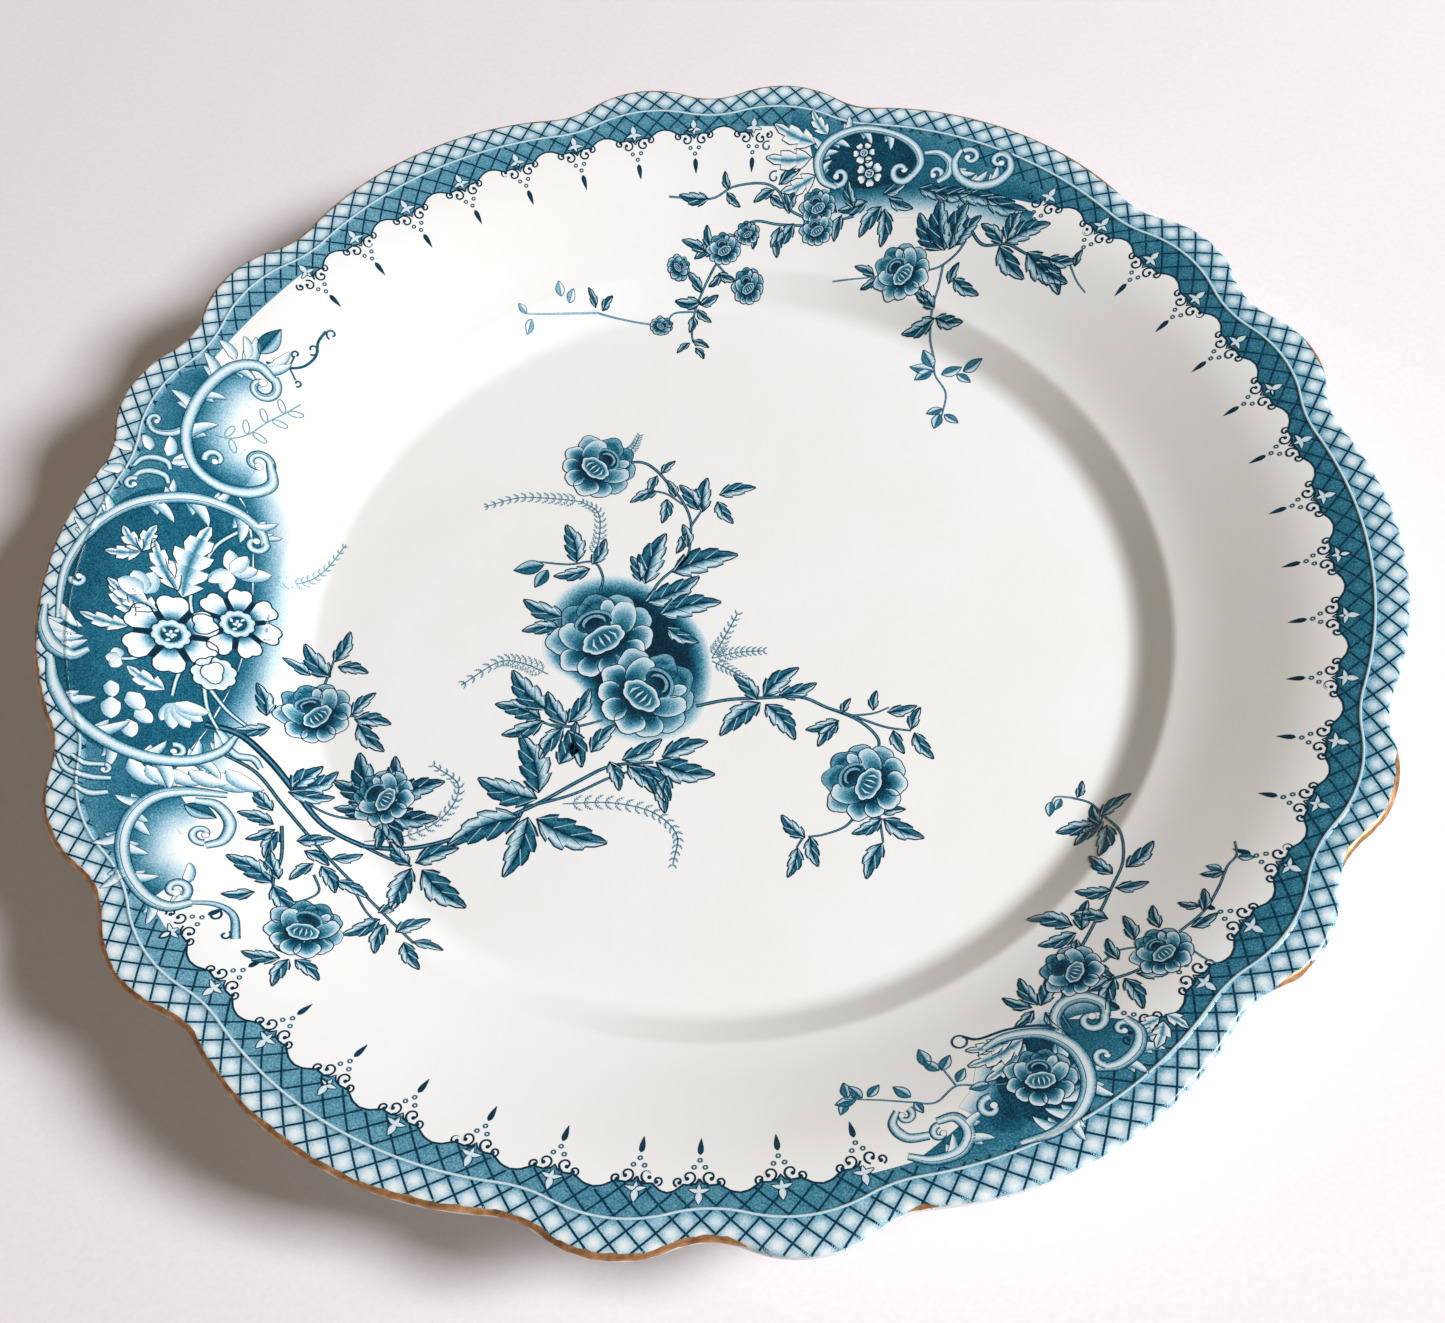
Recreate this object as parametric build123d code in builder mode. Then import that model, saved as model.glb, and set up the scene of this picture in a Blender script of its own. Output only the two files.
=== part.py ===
from build123d import *
from math import cos, hypot, radians, sin, tan
import os

# A glazed earthenware dinner plate with a shaped (scalloped) edge, a blue border and sprays
# printed under the glaze, and a worn gilt line round the edge.
#
# The origin is on the table under the plate's centre, and +Z is up.
# -X points at the middle of the large border panel, and so at the top of a wide lobe.

# ---- Edge: six wide lobes, with two narrow ones between each pair --------------------------
LOBE_R = 129.4
DIP_R = 125.6
VALLEY_R = 16.0
SECTORS = 6
WIDE_HALF_ANGLE = 15.0
NARROW_HALF_ANGLE = 7.5
NARROW_LOBE_ANGLES = (22.5, 37.5)

# ---- Raised line that follows the edge -----------------------------------------------------
LINE_LOBE_R = 122.8
LINE_DIP_R = 120.4
LINE_VALLEY_R = 25.0
LINE_WIDTH = 0.8
LINE_HEIGHT = 0.3

# ---- Face profile: floor, toe, shoulder, crest, then a rim that steepens and levels out ----
FLOOR_R = 79.0
FLOOR_Z = 6.5
TOE_R = 6.5
SHOULDER_SLOPE = 39.0
CREST_IN_R = 87.7
CREST_R = 2.6
RIM_SLOPE_IN = 18.0
RIM_DISH_R = 60.0
RIM_SLOPE = 26.0
RIM_TURN_R = 107.5
RIM_LEVEL_R = 54.2

# ---- Underside and foot ring ---------------------------------------------------------------
BACK_FLOOR_Z = 2.4
FOOT_IN_R = 76.4
FOOT_OUT_R = 79.4
FOOT_DRAFT = 0.9
FOOT_ROUND = 0.7
FOOT_TOP_OUT = (81.0, 3.4)
BACK_SLOPE = 27.5
BACK_TURN_R = 109.0
BACK_LEVEL_R = 47.0
LIP_ROUND = 1.4

# ---- Coats, drawn thicker than the real ones -----------------------------------------------
GLAZE = 0.4
INK = 0.2
GILT = 0.2
GILT_WIDTH = 1.3
GILT_DROP = 2.4
PRINT_MARGIN = 1.7

GILT_STRETCHES = ((48, 272), (283, 287), (318, 321), (330, 341), (20, 24))

# ---- Border print: a band to the edge, bays along its inner side, and a drop at each cusp --
BAYS = 55
BAY_TOP_R = 118.4
BAY_CUSP_R = 115.2
DROP_IN_R = 107.6
DROP_OUT_R = 111.4
DROP_WIDTH = 1.1

# ---- Border panels: a filled oval each, with scrolls beside it -----------------------------
# An oval is (x, y, half length, half width, angle), and a scroll is (width, its points).
LEFT_OVAL = (-105.5, -3.0, 33.0, 19.5, 90.0)
LEFT_SCROLLS = (
    (7.0, ((-96, 29), (-107, 35), (-108, 46), (-101, 56), (-91, 57), (-83, 66))),
    (7.0, ((-99, -36), (-111, -43), (-112, -54), (-104, -63), (-94, -63), (-85, -70))),
)
TOP_OVAL = (34.0, 106.5, 12.5, 8.5, -18.0)
TOP_SCROLLS = ((7.0, ((42, 104), (52, 100), (61, 100), (68, 95))),)
LOWER_OVAL = (55.0, -98.0, 9.5, 9.5, 0.0)
LOWER_SCROLLS = (
    (4.5, ((50, -104), (42, -110), (33, -110), (31, -104))),
    (6.0, ((60, -92), (67, -90), (73, -95), (69, -100))),
)

# ---- Sprays: roses (x, y, radius), leaves (x, y, length, angle) and stems (their points) ---
CENTRE_ROSES = ((-22, 1, 9.0), (-13.5, -14, 9.0), (-25, 40, 6.5), (28, -35, 7.5))
CENTRE_LEAVES = (
    (-16, 10, 12, 78), (-9, 12, 13, 18), (-8, 8, 8, -12), (-30, 4, 9, 168), (-25, 11, 11, 108),
    (-31, 13, 10, 165), (-31, -15, 11, 160), (-30, -20, 10, 195), (-35, -38, 11, 148),
    (-37, -36, 11, 92), (-36, -36, 10, 32), (-38, -42, 13, 196), (-38, -42, 10, 266),
    (-37, -42, 10, 330), (-15, -29, 13, 4), (-13, -31, 10, 300), (3, -17, 10, 38),
    (5, -17, 12, 322), (4, -18, 8, 245), (20, -21, 8, 292), (28, -21, 9, 12), (36, -23, 8, 300),
    (29, -43, 12, 272), (31, -43, 9, 338), (17, -46, 8, 248), (18, -46, 6, 135),
    (-15, 33, 7, 268), (-10, 33, 6, 80), (-4, 29, 8, 75), (-3, 29, 10, 5), (-3, 28, 7, 300),
)
CENTRE_STEMS = (
    ((-65, -46), (-55, -46), (-45, -43), (-33, -39), (-22, -33), (-12, -30)),
    ((-8, -16), (4, -17), (17, -19), (25, -24), (28, -30)),
    ((27, -42), (23, -45), (16, -46)),
    ((-19, 40), (-12, 37), (-6, 28), (-6, 18), (-10, 10)),
)
LEFT_ROSES = ((-78, -17, 6.5), (-62, -36, 7.5), (-73, -67, 6.5))
LEFT_LEAVES = (
    (-76, -8, 7, 120), (-75, -7, 8, 62), (-75, -9, 6, 350), (-69, -20, 8, 352), (-68, -21, 7, 310),
    (-74, -37, 8, 150), (-78, -26, 7, 250), (-62, -47, 9, 330), (-55, -50, 11, 300),
    (-84, -52, 8, 165), (-78, -52, 8, 100), (-80, -62, 8, 160), (-66, -60, 7, 20),
    (-62, -65, 9, 355), (-76, -74, 7, 220),
)
LEFT_STEMS = (
    ((-87, -30), (-81, -38), (-74, -43), (-67, -46)),
    ((-82, -40), (-79, -50), (-76, -60)),
    ((-77, -50), (-68, -56), (-57, -65)),
)
TOP_ROSES = ((40, 84, 5.0), (28, 96, 4.5), (6, 85, 3.0))
TOP_LEAVES = (
    (42, 91, 8, 70), (50, 90, 10, 60), (54, 90, 12, 330), (60, 85, 12, 300), (50, 79, 7, 310),
    (44, 76, 8, 262), (16, 97, 8, 215), (4, 93, 9, 190), (-3, 89, 6, 250), (8, 96, 6, 20),
    (12, 103, 6, 330), (2, 103, 7, 175), (-10, 80, 6, 300), (40, 62, 5, 160), (49, 62, 5, 20),
)
TOP_STEMS = (
    ((30, 98), (16, 97), (4, 91), (-4, 82), (-14, 78), (-36, 80)),
    ((18, 102), (6, 102), (-10, 103)),
    ((46, 94), (48, 84), (46, 74), (50, 62), (49, 47)),
    ((52, 90), (62, 86), (75, 80), (77, 71)),
)
LOWER_ROSES = ((62, -77, 5.0), (77, -75, 5.0))
LOWER_LEAVES = (
    (62, -70, 8, 100), (60, -69, 6, 180), (52, -84, 7, 120), (69, -84, 7, 20), (70, -62, 8, 160),
    (72, -60, 7, 45), (70, -50, 8, 230), (74, -44, 6, 110), (87, -68, 6, 60), (80, -70, 6, 120),
)
LOWER_STEMS = (
    ((62, -82), (66, -72), (71, -60), (73, -48), (64, -40)),
    ((66, -82), (78, -76), (86, -68), (92, -58)),
    ((46, -100), (36, -98), (22, -100)),
)
PETALS = 8
LEAF_WIDTH = 0.42
STEM_WIDTH = 0.9

# ---- Heights that cutting shapes reach past the plate --------------------------------------
CUT_HEIGHT = 40.0
LINE_CUT_Z = 23.0
BELOW = -30.0
PAST_EDGE = 134.0
PAST_AXIS = -5.0

# ---- Turned surfaces begin and end here, clear of the lobes' tops and of the dips ----------
SEAM_ANGLE = 7.3


def polar(radius, angle):
    """The point at this radius and angle, the angle in degrees from +X."""
    return radius * cos(radians(angle)), radius * sin(radians(angle))


def lobe_arc_radius(top_r, dip_r, valley_r, half_angle):
    """Radius of the lobe's arc that just meets the valley arc beside it."""
    valley_centre = dip_r + valley_r
    lean = cos(radians(half_angle))
    above = valley_r**2 - top_r**2 - valley_centre**2 + 2 * top_r * valley_centre * lean
    return above / (2 * valley_centre * lean - 2 * top_r - 2 * valley_r)


def meeting_point(top_r, dip_r, valley_r, lobe_angle, half_angle, side):
    """Where a lobe's arc meets the valley on one side of it."""
    arc_r = lobe_arc_radius(top_r, dip_r, valley_r, half_angle)
    lobe_x, lobe_y = polar(top_r - arc_r, lobe_angle)
    valley_x, valley_y = polar(dip_r + valley_r, lobe_angle + side * half_angle)
    share = arc_r / (arc_r + valley_r)
    return lobe_x + share * (valley_x - lobe_x), lobe_y + share * (valley_y - lobe_y)


def shaped_outline(top_r, dip_r, valley_r):
    """A face bounded by the scalloped outline: one arc for each lobe and each valley."""
    lobes = []
    for sector in range(SECTORS):
        start = 360 / SECTORS * sector
        lobes.append((start, WIDE_HALF_ANGLE))
        lobes += [(start + angle, NARROW_HALF_ANGLE) for angle in NARROW_LOBE_ANGLES]
    shape = (top_r, dip_r, valley_r)
    with BuildSketch() as outline:
        with BuildLine():
            for here, (angle, half_angle) in enumerate(lobes):
                next_angle, next_half = lobes[(here + 1) % len(lobes)]
                first = meeting_point(*shape, angle, half_angle, -1)
                last = meeting_point(*shape, angle, half_angle, 1)
                following = meeting_point(*shape, next_angle, next_half, -1)
                ThreePointArc(first, polar(top_r, angle), last)
                ThreePointArc(last, polar(dip_r, angle + half_angle), following)
        make_face()
    return outline.sketch


def edge_outline(inset):
    """The plate's outline, moved in towards the centre by this much."""
    return shaped_outline(LOBE_R - inset, DIP_R - inset, VALLEY_R + inset)


def line_outline(outset):
    """The raised line's centre, moved out by this much."""
    return shaped_outline(LINE_LOBE_R + outset, LINE_DIP_R + outset, LINE_VALLEY_R - outset)


def slope_arc(start, radius, slope_in, slope_out):
    """Draws an arc from one slope to another, in degrees, in the current BuildLine."""
    before = radians(slope_in)
    after = radians(slope_out)
    run = radius * abs(sin(after) - sin(before))
    rise = radius * abs(cos(after) - cos(before))
    end = (start[0] + run, start[1] + rise)
    TangentArc(start, end, tangent=(cos(before), sin(before)))
    return end


def slope_line(start, slope, end_r):
    """Draws a straight line at this slope in degrees as far as this radius."""
    end = (end_r, start[1] + (end_r - start[0]) * tan(radians(slope)))
    Line(start, end)
    return end


def face_profile():
    """Draws the face from beyond the axis to beyond the edge, in the current BuildLine."""
    start = (PAST_AXIS, FLOOR_Z)
    toe = (FLOOR_R, FLOOR_Z)
    Line(start, toe)
    shoulder = slope_arc(toe, TOE_R, 0, SHOULDER_SLOPE)
    crest = slope_line(shoulder, SHOULDER_SLOPE, CREST_IN_R)
    rim = slope_arc(crest, CREST_R, SHOULDER_SLOPE, RIM_SLOPE_IN)
    cone = slope_arc(rim, RIM_DISH_R, RIM_SLOPE_IN, RIM_SLOPE)
    turn = slope_line(cone, RIM_SLOPE, RIM_TURN_R)
    level = slope_arc(turn, RIM_LEVEL_R, RIM_SLOPE, 0)
    return start, slope_line(level, 0, PAST_EDGE)


def back_profile():
    """Draws the underside from the foot ring to beyond the edge, in the current BuildLine."""
    turn = slope_line(FOOT_TOP_OUT, BACK_SLOPE, BACK_TURN_R)
    level = slope_arc(turn, BACK_LEVEL_R, BACK_SLOPE, 0)
    return slope_line(level, 0, PAST_EDGE)


def under_face(inset):
    """Everything below the face, with the face moved down by this much."""
    with BuildPart() as solid:
        with BuildSketch(Plane.XZ):
            with BuildLine():
                start, past_edge = face_profile()
                Polyline(past_edge, (past_edge[0], BELOW), (PAST_AXIS, BELOW), start)
            make_face()
            offset(amount=-inset)
            split(bisect_by=Plane.YZ, keep=Keep.TOP)
        revolve(axis=Axis.Z)
    return solid.part.rotate(Axis.Z, SEAM_ANGLE)


def raised_line(inset, half_width):
    """The low ridge that follows the edge, up to its own top."""
    with BuildPart() as ridge:
        with BuildSketch(Plane.XY.offset(LINE_CUT_Z)):
            add(line_outline(half_width))
            add(line_outline(-half_width), mode=Mode.SUBTRACT)
        extrude(amount=CUT_HEIGHT - LINE_CUT_Z)
        add(under_face(inset - LINE_HEIGHT), mode=Mode.INTERSECT)
    return ridge.part


def plate_blank(inset):
    """The plate without its raised line, with every surface moved in by this much."""
    with BuildPart() as turned:
        with BuildSketch(Plane.XZ):
            with BuildLine():
                start, past_edge = face_profile()
                Line(past_edge, back_profile())
                Polyline(
                    FOOT_TOP_OUT,
                    (FOOT_OUT_R, 0),
                    (FOOT_IN_R, 0),
                    (FOOT_IN_R - FOOT_DRAFT, BACK_FLOOR_Z),
                    (PAST_AXIS, BACK_FLOOR_Z),
                    start,
                )
            section = make_face()
            fillet(section.vertices().sort_by(Axis.Y)[:2], radius=FOOT_ROUND)
            offset(amount=-inset)
            split(bisect_by=Plane.YZ, keep=Keep.TOP)
        revolve(axis=Axis.Z)
    with BuildPart() as solid:
        add(turned.part.rotate(Axis.Z, SEAM_ANGLE))
        with BuildSketch(Plane.XY):
            add(edge_outline(inset))
        extrude(amount=CUT_HEIGHT, mode=Mode.INTERSECT)
        lip = solid.edges().filter_by(
            lambda e: hypot(e.center().X, e.center().Y) > DIP_R - 3 and e.bounding_box().size.Z < 1
        )
        fillet(lip, radius=LIP_ROUND - inset)
    return solid.part


def leaf(x, y, length, angle):
    """A pointed leaf with its base at x, y."""
    tip_x, tip_y = polar(length, angle)
    side_x, side_y = polar(length * LEAF_WIDTH / 2, angle + 90)
    tip = (x + tip_x, y + tip_y)
    middle = (x + tip_x / 2, y + tip_y / 2)
    with BuildSketch() as shape:
        with BuildLine():
            ThreePointArc((x, y), (middle[0] + side_x, middle[1] + side_y), tip)
            ThreePointArc(tip, (middle[0] - side_x, middle[1] - side_y), (x, y))
        make_face()
    return shape.sketch


def rose(radius):
    """A round flower with bulging petals, about the origin."""
    step = 360 / PETALS
    notch_r = 0.86 * radius
    with BuildSketch() as shape:
        with BuildLine():
            for petal in range(PETALS):
                ThreePointArc(
                    polar(notch_r, petal * step),
                    polar(radius, (petal + 0.5) * step),
                    polar(notch_r, (petal + 1) * step),
                )
        make_face()
    return shape.sketch


def stroke(width, points):
    """A line of this width through the points."""
    with BuildSketch() as shape:
        with BuildLine() as path:
            Spline(*points)
        trace(path.line, line_width=width)
    return shape.sketch


def spray_shape(roses, leaves, stems):
    with BuildSketch() as shape:
        for points in stems:
            add(stroke(STEM_WIDTH, points))
        for placed in leaves:
            add(leaf(*placed))
        for x, y, radius in roses:
            with Locations((x, y)):
                add(rose(radius))
    return shape.sketch


def panel_shape(oval, scrolls):
    x, y, half_length, half_width, angle = oval
    with BuildSketch() as shape:
        with Locations(Location((x, y), angle)):
            Ellipse(half_length, half_width)
        for width, points in scrolls:
            add(stroke(width, points))
        add(edge_outline(PRINT_MARGIN), mode=Mode.INTERSECT)
    return shape.sketch


def border_shape():
    """The band with its bays, and a drop pointing inwards from each cusp."""
    step = 360 / BAYS
    with BuildSketch() as shape:
        add(edge_outline(PRINT_MARGIN))
        with BuildSketch(mode=Mode.PRIVATE) as inside:
            with BuildLine():
                for bay in range(BAYS):
                    ThreePointArc(
                        polar(BAY_CUSP_R, bay * step),
                        polar(BAY_TOP_R, (bay + 0.5) * step),
                        polar(BAY_CUSP_R, (bay + 1) * step),
                    )
            make_face()
        add(inside.sketch, mode=Mode.SUBTRACT)
        with PolarLocations((DROP_IN_R + DROP_OUT_R) / 2, BAYS):
            Ellipse((DROP_OUT_R - DROP_IN_R) / 2, DROP_WIDTH / 2)
    return shape.sketch


def gilt_shape():
    """The stretches of the edge where the gilding survives."""
    reach = LOBE_R + GILT_WIDTH
    with BuildSketch() as shape:
        for start, end in GILT_STRETCHES:
            with BuildLine():
                Line((0, 0), polar(reach, start))
                ThreePointArc(polar(reach, start), polar(reach, (start + end) / 2), polar(reach, end))
                Line(polar(reach, end), (0, 0))
            make_face()
        add(edge_outline(GILT_WIDTH), mode=Mode.SUBTRACT)
    return shape.sketch


def film(shape, *others):
    """A printed shape as a film of ink on the clay, less the shapes that other films hold."""
    with BuildPart() as ink:
        with BuildSketch(Plane.XY):
            add(shape)
            for other in others:
                add(other, mode=Mode.SUBTRACT)
        extrude(amount=CUT_HEIGHT)
        add(under_ink_top, mode=Mode.INTERSECT)
        add(under_clay_top, mode=Mode.SUBTRACT)
        add(clay_line, mode=Mode.SUBTRACT)
    return ink.part


def keep(part, name):
    part.label = name
    export_step(part, f"parts/{name}.step")


os.makedirs("parts", exist_ok=True)

# ---- Clay: one jiggered piece, with its foot ring wiped bare where it stands ---------------
clay_line = raised_line(GLAZE, LINE_WIDTH / 2)

with BuildPart() as earthenware_body:
    add(plate_blank(GLAZE))
    add(clay_line)
    with BuildSketch(Plane.XY):
        Circle(FOOT_OUT_R - FOOT_ROUND)
        Circle(FOOT_IN_R + FOOT_ROUND, mode=Mode.SUBTRACT)
    extrude(amount=2 * GLAZE)

# ---- Ink films: the border, three panels and four sprays -----------------------------------
under_ink_top = under_face(GLAZE - INK)
under_clay_top = under_face(GLAZE)

left_panel = panel_shape(LEFT_OVAL, LEFT_SCROLLS)
top_panel = panel_shape(TOP_OVAL, TOP_SCROLLS)
lower_panel = panel_shape(LOWER_OVAL, LOWER_SCROLLS)
centre_spray = spray_shape(CENTRE_ROSES, CENTRE_LEAVES, CENTRE_STEMS)
left_spray = spray_shape(LEFT_ROSES, LEFT_LEAVES, LEFT_STEMS)
top_spray = spray_shape(TOP_ROSES, TOP_LEAVES, TOP_STEMS)
lower_spray = spray_shape(LOWER_ROSES, LOWER_LEAVES, LOWER_STEMS)
border = border_shape()

films = {
    "left_panel_print": film(left_panel),
    "top_panel_print": film(top_panel),
    "lower_panel_print": film(lower_panel),
    "centre_spray_print": film(centre_spray),
    "left_spray_print": film(left_spray, left_panel, centre_spray),
    "top_spray_print": film(top_spray, top_panel),
    "lower_spray_print": film(lower_spray, lower_panel),
}
panels = (left_panel, top_panel, lower_panel)
films["border_print"] = film(border, *panels, left_spray, top_spray, lower_spray)

# ---- Gilding: what is left of the line round the edge --------------------------------------
whole_plate = plate_blank(0)

with BuildPart() as gilt_edge_line:
    with BuildSketch(Plane.XY.offset(whole_plate.bounding_box().max.Z - GILT_DROP)):
        add(gilt_shape())
    extrude(amount=CUT_HEIGHT)
    add(whole_plate, mode=Mode.INTERSECT)
    add(plate_blank(GILT), mode=Mode.SUBTRACT)

# ---- Glaze: the rest of the plate's bulk, parted by the bare foot --------------------------
with BuildPart() as glaze:
    add(whole_plate)
    add(raised_line(0, LINE_WIDTH / 2 + GLAZE))
    add(earthenware_body.part, mode=Mode.SUBTRACT)
    add(gilt_edge_line.part, mode=Mode.SUBTRACT)
    for ink in films.values():
        add(ink, mode=Mode.SUBTRACT)

coats = glaze.solids().sort_by(SortBy.VOLUME)

keep(earthenware_body.part, "earthenware_body")
keep(coats[-1], "glaze_face_and_rim")
keep(coats[0], "glaze_inside_foot")
keep(gilt_edge_line.part, "gilt_edge_line")
for name, ink in films.items():
    keep(ink, name)
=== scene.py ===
from math import cos, pi, radians, sin, tan

import bmesh
import bpy
import numpy as np
from mathutils import Matrix, Vector


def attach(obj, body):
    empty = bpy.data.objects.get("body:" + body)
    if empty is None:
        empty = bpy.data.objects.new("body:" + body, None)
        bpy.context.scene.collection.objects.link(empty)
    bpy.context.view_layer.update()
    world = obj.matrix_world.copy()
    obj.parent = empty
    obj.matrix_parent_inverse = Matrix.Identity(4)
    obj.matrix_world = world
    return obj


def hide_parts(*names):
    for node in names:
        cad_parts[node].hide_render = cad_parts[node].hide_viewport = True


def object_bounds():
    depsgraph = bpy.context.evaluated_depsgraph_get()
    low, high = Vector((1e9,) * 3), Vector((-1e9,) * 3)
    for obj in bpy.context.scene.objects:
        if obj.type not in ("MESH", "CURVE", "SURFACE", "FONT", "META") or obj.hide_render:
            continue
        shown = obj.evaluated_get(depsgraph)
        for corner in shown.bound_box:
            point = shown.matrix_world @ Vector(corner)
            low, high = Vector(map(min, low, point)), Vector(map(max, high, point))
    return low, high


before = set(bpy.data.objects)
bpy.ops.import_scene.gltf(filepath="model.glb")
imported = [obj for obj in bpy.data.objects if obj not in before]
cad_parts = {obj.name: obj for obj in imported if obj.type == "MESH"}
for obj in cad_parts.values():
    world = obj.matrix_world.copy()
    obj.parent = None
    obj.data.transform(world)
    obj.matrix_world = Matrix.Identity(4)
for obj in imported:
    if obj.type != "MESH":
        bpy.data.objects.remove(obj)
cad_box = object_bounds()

# A china dinner plate with a scalloped edge, printed in blue under a glossy glaze.
#
# Shapes are worked out in millimetres in the CAD model's frame, and are turned to metres when
# their meshes are made. The printed decoration is a set of very thin shapes laid on the face.
# Each of their points has a tone: 0 is bare glaze, and 1 is the darkest ink.

# ---- Edge ----------------------------------------------------------------------------------
LOBE_R = 129.4
DIP_R = 125.6
VALLEY_R = 16.0
# One sector of the outline, repeated six times: where its lobes stand, half of each lobe's width,
# and where the dips between them lie.
SECTOR = 60.0
LOBE_ANGLES = (0.0, 22.5, 37.5, 60.0)
LOBE_HALVES = (15.0, 7.5, 7.5, 15.0)
DIP_ANGLES = (15.0, 30.0, 45.0)
# The raised line inside the edge.
LINE_LOBE_R = 122.8
LINE_DIP_R = 120.4
LINE_VALLEY_R = 25.0
LINE_HEIGHT = 0.3
LINE_REACH = 0.75
LIP_ROUND = 1.4

# Metres in a millimetre, measured on the frame, and the height that the foot stands at.
MM = (cad_box[1][0] - cad_box[0][0]) / (2 * LOBE_R)
BASE_Z = cad_box[0][2]

# ---- Section -------------------------------------------------------------------------------
FLOOR_R = 79.0
FLOOR_Z = 6.5
BACK_FLOOR_Z = 2.4
FOOT_OUT_R = 79.4
FOOT_ROUND = 0.7
FOOT_TOP_OUT = (81.0, 3.4)
GLAZE = 0.36
SEGMENTS = 540
# Inside this radius the rows of the plate are circles. Outside it they change to the scallops.
CIRCLE_R = 108.0

# ---- Print heights above the glaze ---------------------------------------------------------
PRINT_LIFT = 0.02
LEVEL_STEP = 0.008
# A shape's own small step keeps shapes of one level from lying in one another.
SHAPE_STEP = 0.0004
SHAPES_PER_LEVEL = 19


# ============================ Surfaces ======================================================
class Section:
    """Radius and height along a turned surface, drawn as lines and arcs of a given slope."""

    def __init__(self, r, z):
        self.r = [r]
        self.z = [z]

    def line(self, slope, end_r, steps=12):
        start_r = self.r[-1]
        start_z = self.z[-1]
        for r in np.linspace(start_r, end_r, steps + 1)[1:]:
            self.r.append(r)
            self.z.append(start_z + (r - start_r) * tan(radians(slope)))

    def arc(self, radius, slope_in, slope_out, steps=24):
        start_r = self.r[-1]
        start_z = self.z[-1]
        turn = 1 if slope_out > slope_in else -1
        for slope in np.radians(np.linspace(slope_in, slope_out, steps + 1)[1:]):
            self.r.append(start_r + turn * radius * (sin(slope) - sin(radians(slope_in))))
            self.z.append(start_z + turn * radius * (cos(radians(slope_in)) - cos(slope)))

    def height(self, r):
        return np.interp(r, self.r, self.z)


face = Section(0.0, FLOOR_Z)
face.line(0, FLOOR_R)
face.arc(6.5, 0, 39)
face.line(39, 87.7)
face.arc(2.6, 39, 18)
face.arc(60.0, 18, 26)
face.line(26, 107.5)
face.arc(54.2, 26, 0, steps=90)

back = Section(*FOOT_TOP_OUT)
back.line(27.5, 109.0)
back.arc(47.0, 27.5, 0, steps=90)


def polar(r, angle):
    """Points at these radii and angles, the angles in degrees from +X."""
    turn = np.radians(angle)
    return np.stack(np.broadcast_arrays(r * np.cos(turn), r * np.sin(turn)), -1)


def scallop(angle, lobe_r, dip_r, valley_r):
    """Radius of a scalloped outline at these angles: arcs for the lobes and for the dips."""
    here = np.mod(angle, SECTOR)
    place = np.searchsorted(DIP_ANGLES, here, side="right")
    half = np.array(LOBE_HALVES)[place]
    off = np.abs(here - np.array(LOBE_ANGLES)[place])
    valley_c = dip_r + valley_r
    lean = np.cos(np.radians(half))
    above = valley_r**2 - lobe_r**2 - valley_c**2 + 2 * lobe_r * valley_c * lean
    arc_r = above / (2 * valley_c * lean - 2 * lobe_r - 2 * valley_r)
    lobe_c = lobe_r - arc_r
    share = arc_r / (arc_r + valley_r)
    meet_x = lobe_c + share * (valley_c * lean - lobe_c)
    meet_y = share * valley_c * np.sin(np.radians(half))
    meet = np.degrees(np.arctan2(meet_y, meet_x))
    turn = np.radians(off)
    lobe = lobe_c * np.cos(turn) + np.sqrt(np.maximum(arc_r**2 - (lobe_c * np.sin(turn)) ** 2, 0))
    back_turn = np.radians(half - off)
    under = np.maximum(valley_r**2 - (valley_c * np.sin(back_turn)) ** 2, 0)
    return np.where(off <= meet, lobe, valley_c * np.cos(back_turn) - np.sqrt(under))


def edge_r(angle):
    """Radius of the plate's edge."""
    return scallop(angle, LOBE_R, DIP_R, VALLEY_R)


def line_r(angle):
    """Radius of the raised line's crest."""
    return scallop(angle, LINE_LOBE_R, LINE_DIP_R, LINE_VALLEY_R)


def height(xy):
    """The face's height at points of the plan, with its raised line and the rounding of its lip."""
    r = np.hypot(xy[..., 0], xy[..., 1])
    angle = np.degrees(np.arctan2(xy[..., 1], xy[..., 0]))
    off = np.abs(r - line_r(angle)) / LINE_REACH
    bump = np.where(off < 1, LINE_HEIGHT * (0.5 + 0.5 * np.cos(pi * off)), 0)
    over = np.clip(r - edge_r(angle) + LIP_ROUND, 0, LIP_ROUND)
    return face.height(r) + bump - LIP_ROUND + np.sqrt(LIP_ROUND**2 - over**2)


def face_normal(xy):
    """Unit normals of the face, from its height a small step away on each side."""
    step = 0.05
    run_x = (height(xy + (step, 0)) - height(xy - (step, 0))) / (2 * step)
    run_y = (height(xy + (0, step)) - height(xy - (0, step))) / (2 * step)
    normal = np.stack([-run_x, -run_y, np.ones_like(run_x)], -1)
    return normal / np.linalg.norm(normal, axis=-1, keepdims=True)


# ============================ Meshes ========================================================
# Points closer than this, in metres, count as one.
DOUBLED = 1e-7


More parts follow.
